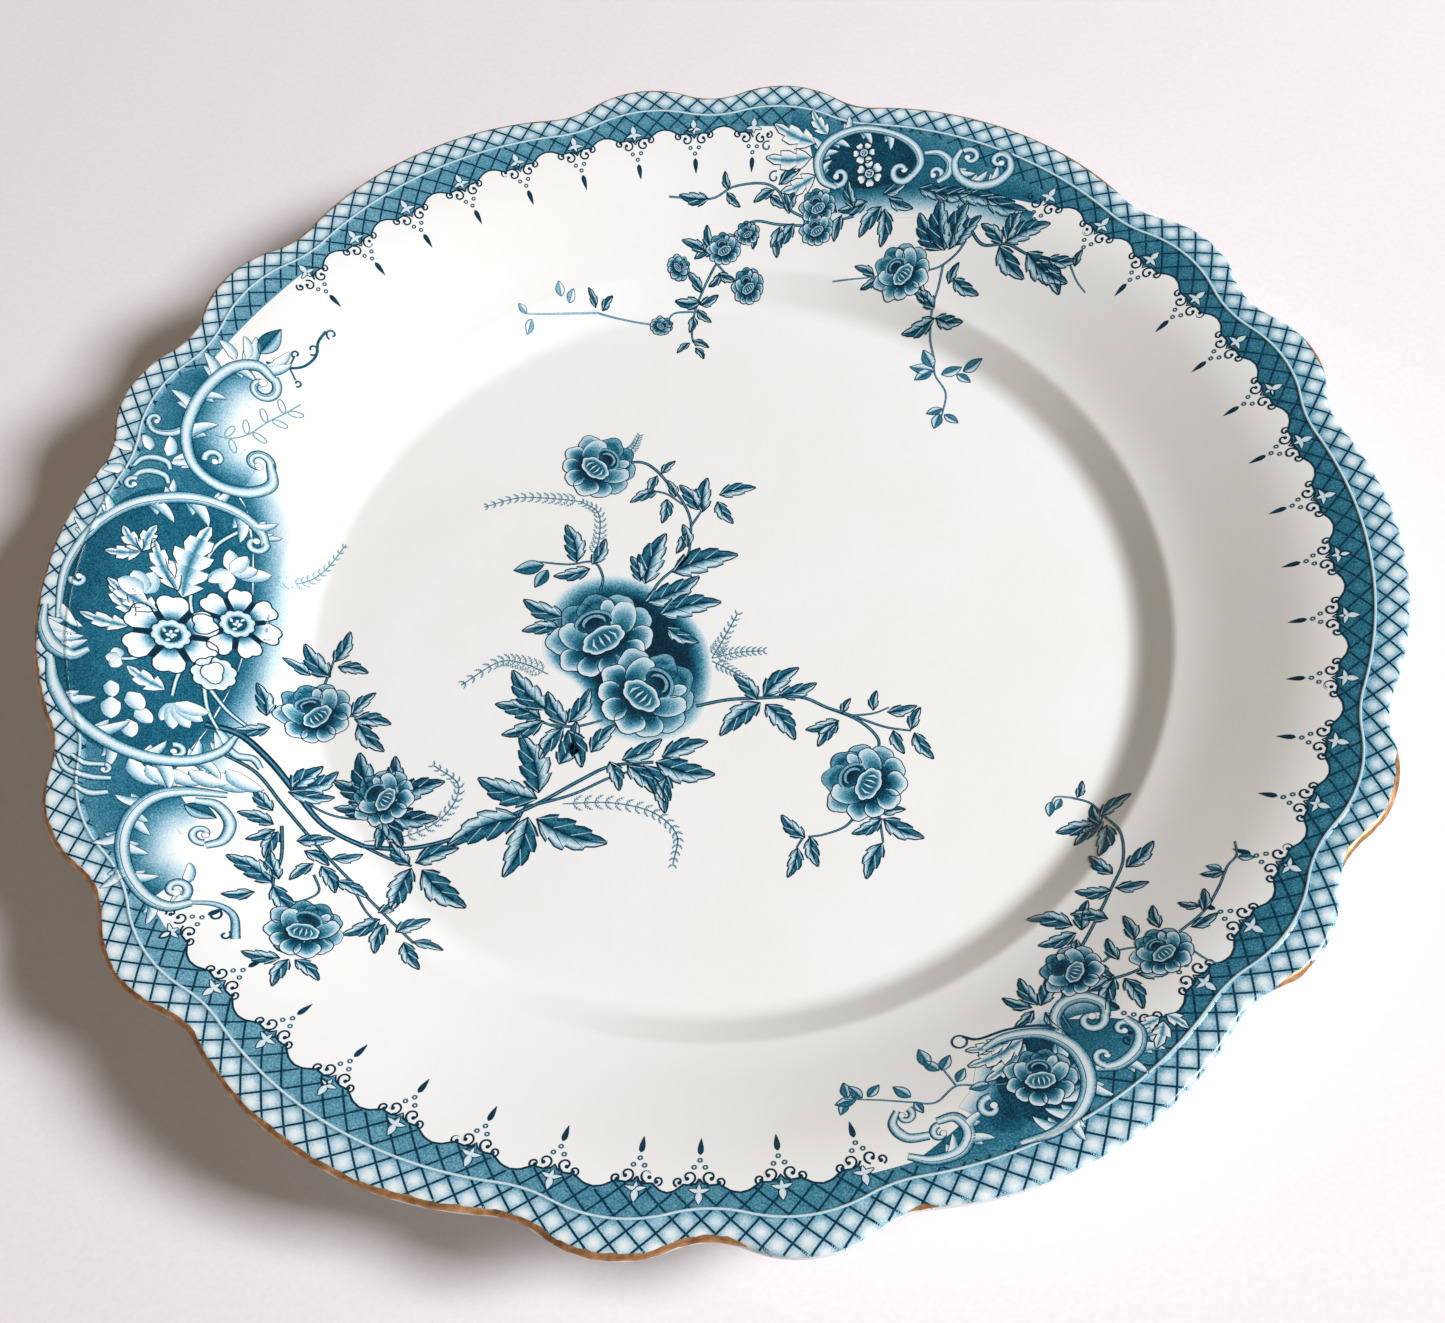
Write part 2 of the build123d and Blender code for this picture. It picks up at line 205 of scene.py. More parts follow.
def make_mesh(name, points, quads, tones=None, normals=None):
    """A mesh in metres from points in millimetres, with doubled points merged."""
    mesh = bpy.data.meshes.new(name)
    points = np.asarray(points, float) * MM + (0, 0, BASE_Z)
    mesh.from_pydata(points.tolist(), [], quads.tolist())
    if tones is not None:
        layer = mesh.attributes.new("tone", "FLOAT", "POINT")
        layer.data.foreach_set("value", np.asarray(tones, np.float32))
    if normals is not None:
        layer = mesh.attributes.new("lie", "FLOAT_VECTOR", "POINT")
        layer.data.foreach_set("vector", np.asarray(normals, np.float32).ravel())
    work = bmesh.new()
    work.from_mesh(mesh)
    bmesh.ops.remove_doubles(work, verts=work.verts, dist=DOUBLED)
    bmesh.ops.dissolve_degenerate(work, edges=work.edges, dist=DOUBLED)
    work.to_mesh(mesh)
    work.free()
    mesh.polygons.foreach_set("use_smooth", np.ones(len(mesh.polygons), bool))
    if normals is not None:
        lie = np.zeros(len(mesh.vertices) * 3, np.float32)
        mesh.attributes["lie"].data.foreach_get("vector", lie)
        mesh.normals_split_custom_set_from_vertices(lie.reshape(-1, 3).tolist())
        mesh.attributes.remove(mesh.attributes["lie"])
    piece = bpy.data.objects.new(name, mesh)
    bpy.context.collection.objects.link(piece)
    return piece


def ring_quads(rows, columns):
    """Quads of a grid whose columns close into a ring."""
    index = np.arange(rows * columns).reshape(rows, columns)
    after = np.roll(index, -1, axis=1)
    quads = np.stack([index[:-1], index[1:], after[1:], after[:-1]], -1)
    return quads.reshape(-1, 4)


def sheet_quads(rows, columns):
    """Quads of an open grid."""
    index = np.arange(rows * columns).reshape(rows, columns)
    quads = np.stack([index[:-1, :-1], index[1:, :-1], index[1:, 1:], index[:-1, 1:]], -1)
    return quads.reshape(-1, 4)


# Longest cell of a printed shape on the curved rim, and within NEAR_LINE of the raised line.
COARSE = 1.1
FINE = 0.42
NEAR_LINE = 1.6
# Cells with less area than this are left out.
LEAST_CELL = 1e-4


def finer(points, tones, largest):
    """The same grid with more rows and columns, so that no cell is longer than this."""
    for axis in (0, 1):
        reach = np.linalg.norm(np.diff(points, axis=axis), axis=-1).max()
        count = points.shape[axis]
        parts = int(np.ceil(reach / largest))
        if parts > 1:
            place = np.linspace(0, count - 1, (count - 1) * parts + 1)
            below = np.minimum(place.astype(int), count - 2)
            share = place - below
            share = share[:, None] if axis == 0 else share[None, :]
            near = np.take(points, below, axis) * (1 - share[..., None])
            points = near + np.take(points, below + 1, axis) * share[..., None]
            tones = np.take(tones, below, axis) * (1 - share) + np.take(tones, below + 1, axis) * share
    return points, tones


class Print:
    """Collects printed shapes. Each is a grid of points on the plan, and each point has a tone."""

    def __init__(self):
        self.points = []
        self.tones = []
        self.lifts = []
        self.quads = []
        self.count = 0

    def grid(self, points, tones, level, fitted=False):
        """Adds a shape. Where the face curves, its cells are made small enough to lie on it."""
        tones = np.broadcast_to(tones, points.shape[:2])
        r = np.hypot(points[..., 0], points[..., 1])
        if r.max() > FLOOR_R and not fitted:
            angle = np.degrees(np.arctan2(points[..., 1], points[..., 0]))
            near_line = np.abs(r - line_r(angle)).min() < NEAR_LINE
            across_line = r.min() < LINE_DIP_R < r.max()
            points, tones = finer(points, tones, FINE if near_line or across_line else COARSE)
        rows, columns = points.shape[:2]
        flat = points.reshape(-1, 2)
        quads = sheet_quads(rows, columns)
        one = flat[quads[:, 2]] - flat[quads[:, 0]]
        two = flat[quads[:, 3]] - flat[quads[:, 1]]
        area = one[:, 0] * two[:, 1] - one[:, 1] * two[:, 0]
        quads[area < 0] = quads[area < 0][:, ::-1]
        self.quads.append(quads[np.abs(area) > LEAST_CELL] + self.count)
        self.points.append(flat)
        self.tones.append(tones.reshape(-1))
        own_step = SHAPE_STEP * (len(self.lifts) % SHAPES_PER_LEVEL)
        self.lifts.append(np.full(rows * columns, PRINT_LIFT + LEVEL_STEP * level + own_step))
        self.count += rows * columns

    def piece(self, name):
        """The collected shapes as one object, each lifted off the face by its own small height."""
        xy = np.concatenate(self.points)
        normal = face_normal(xy)
        lift = normal * np.concatenate(self.lifts)[:, None]
        points = np.concatenate([xy, height(xy)[:, None]], 1) + lift
        return make_mesh(name, points, np.concatenate(self.quads), np.concatenate(self.tones), normal)


# ============================ Drawing =======================================================
def curve(points, per=6, closed=False):
    """A smooth curve through the points."""
    p = np.asarray(points, float)
    if closed:
        p = np.concatenate([p[-1:], p, p[:2]])
    else:
        p = np.concatenate([2 * p[:1] - p[1:2], p, 2 * p[-1:] - p[-2:-1]])
    t = np.linspace(0, 1, per, endpoint=False)[:, None]
    spans = []
    for a, b, c, d in zip(p, p[1:], p[2:], p[3:]):
        rising = b + t * (c - a) / 2 + t**2 * (a - 2.5 * b + 2 * c - d / 2)
        spans.append(rising + t**3 * (-a / 2 + 1.5 * b - 1.5 * c + d / 2))
    spans.append(p[-2:-1])
    return np.concatenate(spans)


def across(path):
    """Unit vectors square to a path, on its left."""
    along = np.gradient(path, axis=0)
    along /= np.maximum(np.linalg.norm(along, axis=1, keepdims=True), 1e-9)
    return np.stack([-along[:, 1], along[:, 0]], 1)


def spread(values, count):
    """These values, evened out over this many places."""
    return np.interp(np.linspace(0, 1, count), np.linspace(0, 1, len(values)), values)


def loft(ink, first, last, tones, level, rows=None, fitted=False):
    """Fills between two curves of as many points, with tones given from the first to the last."""
    rows = rows or len(tones)
    share = np.linspace(0, 1, rows)
    points = first[None] + share[:, None, None] * (last - first)[None]
    ink.grid(points, spread(tones, rows)[:, None], level, fitted)


def stroke(ink, path, width, tone, level, taper=0.0):
    """A line of ink along a path; taper thins it towards its end, or towards both if over 1."""
    t = np.linspace(0, 1, len(path))
    if taper > 1:
        widths = width * np.maximum(np.sin(pi * t) ** 0.6, 0.12)
    else:
        widths = width * (1 - taper * t)
    side = across(path) * widths[:, None] / 2
    loft(ink, path + side, path - side, (tone, tone), level)


def ribbon(ink, path, widths, tones, level):
    """A band along a path, with tones given across it from its left side to its right."""
    side = across(path) * spread(widths, len(path))[:, None] / 2
    loft(ink, path + side, path - side, tones, level)


def oval(x, y, long, wide, angle=0.0, points=24, wave=0.0, waves=0):
    """A closed oval path; wave bulges its outline into this many lobes."""
    t = np.linspace(0, 2 * pi, points + 1)
    bulge = 1 + wave * (np.abs(np.sin(waves * t / 2)) - 0.5)
    u = long * bulge * np.cos(t)
    v = wide * bulge * np.sin(t)
    lean = radians(angle)
    return np.stack([x + u * cos(lean) - v * sin(lean), y + u * sin(lean) + v * cos(lean)], 1)


def blob(ink, path, tones, level, rows=None):
    """Fills a closed path from its middle outwards."""
    middle = path[:-1].mean(0)
    loft(ink, middle + (path - middle) * 0.02, path, tones, level, rows)


def turned(path, x, y, angle, size=1.0):
    """A path drawn about the origin, sized, turned and moved to its place."""
    lean = radians(angle)
    turn = np.array([[cos(lean), sin(lean)], [-sin(lean), cos(lean)]])
    return np.asarray(path, float) * size @ turn + (x, y)


# How far a spiral winds in, as a share of the radius that it starts at.
SPIRAL_IN = 0.7


def spiral(x, y, radius, start, turns, points=26):
    """A path that winds in from this radius to under a third of it; turns under 0 wind clockwise."""
    t = np.linspace(0, 1, points)
    return polar(radius * (1 - SPIRAL_IN * t), start + 360 * turns * t) + (x, y)


def ringlet(ink, x, y, radius, width, tone, level=4):
    """A small circle."""
    stroke(ink, oval(x, y, radius, radius, points=12), width, tone, level)


# ============================ Leaves ========================================================
FERN_LEVEL = 3
STEM_LEVEL = 4


def leaf_body(t):
    """Half width of a leaf along its midrib, from 0 at the base to 0 at the tip."""
    return np.sin(pi * t**0.72) ** 0.85


def leaf(ink, x, y, length, angle, teeth, level, wide=0.46, bend=0.08, dark=0.0):
    """A toothed leaf from its base at x, y: one half in shade, one half light, with veins."""
    starts = np.arange(teeth) / teeth
    steps = np.array([0.03, 0.55, 1.02]) / teeth
    fill = np.array([0.70, 0.93, 1.0])
    t = (starts[:, None] + steps).ravel()
    t = np.concatenate([[0.0], np.minimum(t, 1.0), [1.0]])
    reach = leaf_body(np.clip(t - 0.02, 0, 1)) * np.concatenate([[0.3], np.tile(fill, teeth), [0.0]])
    rib = np.stack([t, bend * np.sin(pi * t)], 1)
    placed_rib = turned(rib, x, y, angle, length)
    for side in (1, -1):
        rim = rib + np.stack([np.zeros_like(t), side * reach * wide / 2], 1)
        shade = (0.98, 0.72, 0.66, 0.93) if side > 0 else (0.85, 0.3, 0.06, 0.5)
        shade = np.clip(np.array(shade) + dark, 0.05, 1)
        placed_rim = turned(rim, x, y, angle, length)
        loft(ink, placed_rib, placed_rim, shade, level)
        stroke(ink, placed_rim, 0.2 + 0.006 * length, 0.95, level + 1)
        for tooth in range(teeth):
            root = 3 * tooth + 1
            tip = min(root + 2, len(t) - 2)
            vein = np.linspace(placed_rib[root], placed_rim[tip] * 0.85 + placed_rib[tip] * 0.15, 3)
            stroke(ink, vein, 0.22, 0.22 if side > 0 else 0.85, level + 1, taper=0.6)
    stroke(ink, placed_rib, 0.26 + 0.008 * length, 0.98, level + 2, taper=0.5)


def bud(ink, x, y, length, angle, level, pale=0.0):
    """A closed bud or a small smooth leaf."""
    t = np.linspace(0, 1, 9)
    rib = turned(np.stack([t, np.zeros_like(t)], 1), x, y, angle, length)
    reach = 0.27 * np.sin(pi * t**0.85)
    for side in (1, -1):
        rim = turned(np.stack([t, side * reach], 1), x, y, angle, length)
        tones = np.array((0.85, 0.7, 0.8) if side > 0 else (0.7, 0.2, 0.35)) - pale
        loft(ink, rib, rim, tones, level)
        stroke(ink, rim, 0.2, 0.9 - pale, level + 1)
    stroke(ink, rib, 0.2, 0.9 - pale, level + 1, taper=0.5)


def fern(ink, points, leaflet, tone=0.5):
    """A thin curved stem with feathery forked leaflets on both sides."""
    path = curve(points, per=9)
    stroke(ink, path, 0.24, tone + 0.12, FERN_LEVEL)
    side = across(path)
    for place in range(2, len(path), 2):
        grown = leaflet * (1 - 0.55 * place / len(path))
        along = np.array([side[place][1], -side[place][0]])
        for way in (1, -1):
            t = np.linspace(0, 1, 5)[:, None]
            outwards = way * side[place] * (t - 0.25 * t**2)
            frond = path[place] + grown * (outwards + along * (0.35 * t + 0.45 * t**2))
            stroke(ink, frond, 0.15, tone, FERN_LEVEL)
            for knot in (1, 2, 3):
                for lean in (1, -1):
                    heading = way * side[place] * (0.25 - 0.75 * lean) + along * (0.5 + 0.4 * lean)
                    twig = frond[knot] + heading * grown * (0.34 - 0.06 * knot)
                    stroke(ink, np.stack([frond[knot], twig]), 0.13, tone, FERN_LEVEL)


def stem(ink, points, width, tone=0.9):
    """A stem with a lighter middle and dark edges."""
    ribbon(ink, curve(points), (width, width * 0.7), (tone, tone, tone * 0.45, tone, tone), STEM_LEVEL)


# ============================ Flowers =======================================================
def petal(ink, x, y, inner_r, outer_r, direction, half_turn, tones, level, scallops, outline):
    """A petal about a flower's centre, from one radius to another, with a scalloped rim."""
    t = np.linspace(-1, 1, 4 * scallops + 3)
    crown = 0.80 + 0.20 * np.sqrt(np.maximum(1 - t**2, 0))
    wave = 1 + 0.07 * (np.abs(np.sin(pi * scallops * (t + 1) / 2)) - 0.5)
    rim = polar(outer_r * crown * wave, direction + half_turn * t) + (x, y)
    base = polar(inner_r, direction + 0.7 * half_turn * t) + (x, y)
    loft(ink, base, rim, tones, level, rows=6)
    edge = np.concatenate([base[:1], rim, base[-1:]])
    stroke(ink, edge, outline, 0.92, level + 0.5)


def lobe(ink, x, y, long, wide, angle, level, dark, pale, scallops):
    """A rounded rose petal: dark at its root, and pale at its rim of small scallops."""
    t = np.linspace(-1, 1, 6 * scallops + 3)
    bulge = 0.92 + 0.16 * np.abs(np.sin(pi * scallops * (t + 1) / 2))
    rim = np.stack([long / 2 * np.cos(2.3 * t) * bulge, wide / 2 * np.sin(2.3 * t) * bulge], 1)
    root = np.stack([np.full_like(t, -0.40 * long), 0.16 * wide * t], 1)
    rim = turned(rim, x, y, angle)
    root = turned(root, x, y, angle)
    tones = (dark, 0.97 * dark, 0.85 * dark, 0.66 * dark, 0.42 * dark + pale, 0.12 + pale, 0.02 + pale)
    loft(ink, root, rim, tones, level)
    stroke(ink, rim, 0.2, 0.95, level + 0.4)


# Petals of a rose of radius 1 whose front petal points along -Y, from the back to the front:
# x, y, length, width, direction, tone at the root, tone at the rim, scallops.
ROSE_PETALS = (
    (-0.34, 0.52, 0.74, 0.72, 122, 0.95, 0.38, 3), (0.08, 0.62, 0.72, 0.78, 88, 0.95, 0.45, 3),
    (0.50, 0.46, 0.74, 0.62, 52, 0.92, 0.25, 2), (-0.80, 0.12, 0.62, 0.62, 168, 0.85, 0.10, 3),
    (0.82, 0.08, 0.62, 0.60, 10, 0.85, 0.14, 2), (-0.70, -0.40, 0.56, 0.56, 208, 0.88, 0.02, 3),
    (0.74, -0.36, 0.56, 0.60, -28, 0.88, 0.05, 2), (-0.42, -0.66, 0.54, 0.50, 236, 0.92, 0.0, 2),
    (0.44, -0.64, 0.60, 0.68, 306, 0.92, 0.0, 3), (0.0, -0.76, 0.58, 0.54, 268, 0.92, 0.0, 2),
    (-0.52, 0.10, 0.84, 0.52, 112, 0.80, 0.06, 2), (0.54, 0.20, 0.88, 0.50, 66, 0.78, 0.06, 2),
    (0.30, 0.52, 0.50, 0.32, 76, 0.55, 0.04, 1),
)


def rose(ink, x, y, r, facing, level, seed):
    """A full rose: ruffled petals, a dark opening and a cupped petal in front of it."""
    draw = np.random.default_rng(seed)
    blob(ink, oval(x, y, r * 0.86, r * 0.86, points=28), (0.97, 0.95, 0.95), level - 1, rows=5)
    spin = facing + 90

    def place(u, v):
        """A place in the flower of radius 1, on the plate."""
        return turned([(u * r, v * r)], x, y, spin)[0]

    for number, (u, v, long, wide, way, *looks) in enumerate(ROSE_PETALS):
        grow = r * draw.uniform(0.95, 1.06)
        centre = place(u, v)
        lobe(ink, *centre, long * grow, wide * grow, way + spin, level + 0.25 * number, *looks)
    heart = place(-0.06, 0.36)
    opening = oval(*heart, 0.40 * r, 0.27 * r, spin, points=26, wave=0.08, waves=7)
    blob(ink, opening, (1.0, 0.9, 0.8), level + 3.5, rows=5)
    for share, tone in ((0.40, 0.40), (0.31, 0.95), (0.24, 0.38), (0.15, 1.0)):
        t = np.linspace(-15, 195, 17)
        arc = polar(r * share, t) * (0.95, 0.66)
        stroke(ink, turned(arc, *place(-0.05, 0.30), spin), 0.085 * r, tone, level + 4, taper=2)
    front = place(0.02, -0.14)
    bowl = oval(*front, 0.34 * r, 0.19 * r, spin + 14, points=28)
    rim = oval(*front, 0.47 * r, 0.30 * r, spin + 14, points=28, wave=0.1, waves=7)
    loft(ink, bowl, rim, (0.62, 0.34, 0.1, 0.05), level + 5)
    stroke(ink, rim, 0.22, 0.95, level + 5.6)
    blob(ink, bowl, (0.82, 0.78, 0.64), level + 5, rows=4)
    for share in (-0.24, -0.06, 0.1, 0.26):
        pleat = np.array([(share * 0.7, 0.12), (share, -0.02), (share * 0.9, -0.16)]) * r
        stroke(ink, turned(pleat, *front, spin + 14), 0.05 * r, 0.12, level + 5.8, taper=2)


def daisy(ink, x, y, r, ring, petals, start, level=5):
    """An open flower: white rounded petals shaded at the base, and a frilled ring."""
    blob(ink, oval(x, y, 0.75 * r, 0.75 * r, points=24), (1, 0.98, 0.98), level, rows=4)
    tones = (0.85, 0.45, 0.12, 0.0, 0.0, 0.04)
    for number in range(petals):
        direction = start + 360 / petals * number
        petal(ink, x, y, ring * 1.05, r, direction, 180 / petals * 0.86, tones, level + 1, 2, 0.3)
    frill = oval(x, y, ring * 1.18, ring * 1.12, points=30, wave=0.12, waves=10)
    inner = oval(x, y, ring * 0.62, ring * 0.6, points=30)
    loft(ink, inner, frill, (0.55, 0.12, 0.1, 0.3), level + 3)
    stroke(ink, frill, 0.26, 0.95, level + 4)
    blob(ink, inner, (0.5, 0.8, 0.9), level + 3, rows=4)
    for number in range(7):
        off_x, off_y = polar(ring * (0.18 + 0.3 * (number % 2)), number * 51.0)
        grain = oval(x + off_x, y + off_y, 0.16 * ring, 0.1 * ring, number * 40, 8)
        blob(ink, grain, (0, 0.1), level + 4)


# ============================ Scrollwork ====================================================
# Bands are drawn this much wider than their given widths. Wide ones have an inner line.
BAND_GROWTH = 1.1
WIDE_BAND = 1.6
SCROLL_TONES = (0.6, 0.3, 0.1, 0.05, 0.1, 0.2, 0.42, 0.75)


def scroll_band(ink, path, widths, level, tones=SCROLL_TONES):
    """A white band with a shaded side and thin dark edges."""
    widths = BAND_GROWTH * spread(widths, len(path))
    side = across(path) * widths[:, None] / 2
    loft(ink, path + side, path - side, tones, level)
    stroke(ink, path + side, 0.26, 0.97, level - 0.4)
    stroke(ink, path - side, 0.26, 0.97, level - 0.4)
    if widths.max() > WIDE_BAND:
        stroke(ink, path - 0.3 * side, 0.16, 0.72, level + 0.3, taper=2)


def scroll(ink, points, widths, level, tones=SCROLL_TONES):
    """A white band through the points."""
    scroll_band(ink, curve(points), widths, level, tones)


def curl(ink, x, y, radius, start, turns, width, level):
    """A white scroll's end that winds in to a small round knob."""
    path = spiral(x, y, radius, start, turns)
    scroll_band(ink, path, (width, width * 0.85, width * 0.62), level)
    knob = oval(*path[-1], width * 0.5, width * 0.5, points=12)
    blob(ink, knob, (0.0, 0.05), level + 0.2)
    stroke(ink, knob, 0.2, 0.95, level - 0.2)


def flame(ink, x, y, length, angle, bend=0.3, wide=0.42, level=6.2, tone=0.0, shade=0.35):
    """A pointed, hooked lobe of acanthus, white with one shaded side. Its root hides under a band."""
    t = np.linspace(0, 1, 10)
    rib = np.stack([t * (1.06 - 0.2 * t), 1.6 * bend * t**1.7], 1)
    body = wide / 2 * (1 - t) ** 0.75 * (0.8 + 1.7 * t) * np.minimum(1, 0.2 + 4 * t) + 0.004
    side = across(rib) * body[:, None]
    left = turned(rib + side, x, y, angle, length)
    right = turned(rib - side, x, y, angle, length)
    loft(ink, left, right, (tone, tone, tone + shade * 0.3, tone + shade), level, rows=4)
    stroke(ink, np.concatenate([left, right[::-1]]), 0.22, 0.93, level - 0.3)


def flames(ink, places, level, **shape):
    """Acanthus lobes as (x, y, length, angle) of their roots."""
    for x, y, length, angle in places:
        flame(ink, x, y, length, angle, level=level, **shape)


def acanthus(ink, points, widths, lobes, level):
    """A white band with hooked leaf lobes, given as (share of the way along it, side, length).

    At each place a short lobe stands off the band, and a longer one lies closer along it.
    """
    path = curve(points)
    along = np.gradient(path, axis=0)
    for share, side, length in lobes:
        place = int(share * (len(path) - 1))
        heading = np.degrees(np.arctan2(along[place][1], along[place][0]))
        x, y = path[place]
        flame(ink, x, y, length * 0.6, heading + side * 42, side * 0.4, 0.5, level - 1.2, 0.1, 0.5)
        flame(ink, x, y, length * 0.9, heading + side * 12, side * 0.6, 0.42, level - 0.6, 0.04, 0.5)
    scroll_band(ink, path, widths, level)


def halo(ink, points, reach, tone, level):
    """Ink that fades out from the curve through the points, to its left side."""
    path = curve(points)
    far = path + across(path) * reach
    loft(ink, path, far, (tone, tone * 0.72, tone * 0.4, tone * 0.14, 0.0), level, rows=7)


# ============================ Border ========================================================
# The lattice: how many diamonds go round, the radius where its lines cross, and their sizes.
DIAMONDS = 165
PITCH = 360 / DIAMONDS
CROSSING_R = 124.6
DIAMOND_HEIGHT = 4.7
LATTICE_WIDTH = 0.37
LATTICE_FIRST_R = 115.4
LATTICE_STEP = 0.28
PRINT_MARGIN = 0.12
# Runs of bays: the first cusp's angle, the pitch in degrees, and how many cusps.
BAY_RUNS = ((308.08, 6.54, 17), (85.7, 6.44, 9), (216.95, 6.75, 8), (264.2, 5.0, 2), (269.2, 6.5, 3))
# Inner radius of the band across half a bay, from the cusp to the bay's middle.
BAY_PARTS = (0.0, 0.04, 0.12, 0.25, 0.31, 0.39, 0.5)
BAY_RADII = (115.2, 116.0, 116.35, 116.25, 116.8, 117.5, 117.8)
FLEUR_R = 117.5
RING_RADII = (113.1, 111.8)
DROP_R = 110.8


def bay_r(angle):
    """Inner radius of the border's dark band, with a shallow arch between each two cusps."""
    angle = np.asarray(angle, float)
    inner = np.full(angle.shape, BAY_RADII[-1])
    for first, pitch, cusps in BAY_RUNS:
        along = np.mod(angle - first, 360) / pitch
        part = np.mod(along, 1.0)
        arch = np.interp(np.minimum(part, 1 - part), BAY_PARTS, BAY_RADII)
        inner = np.where(along <= cusps - 1, arch, inner)
    return inner


def print_edge(angle):
    """Outer radius of the border, just inside the plate's edge."""
    return edge_r(angle) - PRINT_MARGIN


def ground_tone(angle, r):
    """Tone of the band: deep inside the raised line, and white diamonds on pale blue outside it."""
    past = r - line_r(angle)
    base = np.interp(past, (-6, -1.5, -0.3, 0.5, 2.5, 5), (0.60, 0.56, 0.58, 0.48, 0.38, 0.30))
    # Deeper towards the right side of the plate, round angle 0: partly deeper print there, and partly
    # painted shade for the rim's shaded right side.
    base = base + np.interp(past, (0, 1), (0.13, 0.08)) * np.cos(np.radians(angle))
    out = (r - CROSSING_R) / DIAMOND_HEIGHT
    middle = 1.0
    for way in (1, -1):
        middle = middle * (1 - np.abs(2 * np.mod(angle / PITCH + way * out, 1.0) - 1))
    clear = np.interp(past, (-1, 0, 1.0, 2.6), (0.1, 0.25, 0.6, 0.96))
    return base * (1 - clear * np.minimum(1.3 * middle**0.7, 1))


def ground(ink):
    """The band's ground as one sheet, with close rows over the raised line and over the lip."""
    angle = np.arange(0, 360 + PITCH / 16, PITCH / 8)
    bay = bay_r(angle)
    line = line_r(angle)
    edge = print_edge(angle)
    rows = [bay + (line - 0.9 - bay) * share for share in np.linspace(0, 1, 8)]
    rows += [line + off for off in np.arange(-LINE_REACH, 0.8, 0.25)]
    outside = line + LINE_REACH
    left_over = edge - LIP_ROUND - line - LINE_REACH
    rows += [outside + left_over * share for share in np.linspace(0.12, 1, 9)]
    rows += [edge - off for off in (1.15, 0.9, 0.7, 0.5, 0.35, 0.2, 0.1, 0.0)]
    radii = np.stack(rows)
    ink.grid(polar(radii, angle[None]), ground_tone(angle[None], radii), 0, fitted=True)
    ridge = np.stack([line + off for off in (-0.24, -0.14, 0.0, 0.14, 0.24)])
    ridge_tones = np.array([[0.42], [0.14], [0.1], [0.14], [0.42]])
    ink.grid(polar(ridge, angle[None]), ridge_tones, 2.6, fitted=True)


def lattice(ink):
    """Two families of slanting lines, from the bays to the lip."""
    for number in range(DIAMONDS):
        for slant in (1, -1):
            r = np.arange(LATTICE_FIRST_R, LOBE_R, LATTICE_STEP)
            turn = number * PITCH + slant * (r - CROSSING_R) / DIAMOND_HEIGHT * PITCH
            inside = (r > bay_r(turn) + 0.15) & (r < print_edge(turn))
            path = polar(r, turn)[inside]
            if len(path) > 2:
                stroke(ink, path, LATTICE_WIDTH, 0.91, 2)


def fleur(ink, angle):
    """A small white trefoil above a cusp, which points outwards."""
    x, y = polar(FLEUR_R, angle)
    t = np.linspace(0, 1, 9)
    shapes = ((0, 2.2, 0.26, 0.8), (106, 1.8, 0.2, 0.6), (-106, 1.8, 0.2, 0.6), (180, 1.4, 0.24, 0.6))
    for turn, length, wide, lean in shapes:
        body = wide * np.sin(pi * t**lean)
        left = turned(np.stack([t, body], 1), x, y, angle + turn, length)
        right = turned(np.stack([t, -body], 1), x, y, angle + turn, length)
        stroke(ink, np.concatenate([left, right[::-1]]), 0.36, 0.95, 3)
        loft(ink, left, right, (0.16, 0.06, 0.16), 3.6)


def cusp(ink, angle):
    """The finish of a cusp: mirrored pairs of curls, three rings and a drop that points inwards."""
    for side in (1, -1):
        for r, off, size, way in ((114.9, 0.87, 1.28, -1), (115.75, 1.66, 0.88, 1)):
            x, y = polar(r, angle + side * off)
            blob(ink, oval(x, y, size * 0.72, size * 0.72, points=12), (0.0, 0.02), 2.2)
            path = spiral(x, y, size, angle + 12 * side * way, side * way * 0.86, points=18)
            stroke(ink, path, 0.36, 0.95, 3)
            blob(ink, oval(*path[-1], 0.38, 0.38, points=10), (0.95, 0.95), 3.2)
        ringlet(ink, *polar(RING_RADII[0], angle + side * 0.46), 0.33, 0.27, 0.72)
    ringlet(ink, *polar(RING_RADII[1], angle), 0.33, 0.27, 0.72)
    t = np.linspace(0, 1, 9)
    drop = np.stack([t * 3.2, 0.46 * np.sin(pi * t**0.6) + 0.04], 1)
    x, y = polar(DROP_R, angle)
    left = turned(drop, x, y, angle + 180)
    right = turned(drop * (1, -1), x, y, angle + 180)
    loft(ink, left, right, (0.95, 0.9, 0.95), 3)


def bays(ink):
    """Outlines of the bays, and the finish and the trefoil of every cusp."""
    cusps = set()
    for first, pitch, count in BAY_RUNS:
        cusps.update(round(first + number * pitch, 2) for number in range(count))
        angle = np.arange(first, first + (count - 1) * pitch + 0.05, pitch / 24)
        stroke(ink, polar(bay_r(angle) - 0.02, angle), 0.36, 0.95, 3)
    for angle in sorted(cusps):
        cusp(ink, angle)
        fleur(ink, angle)


def border_print():
    """The printed border all round the rim."""
    ink = Print()
    ground(ink)
    lattice(ink)
    bays(ink)
    return ink.piece("printed_border")


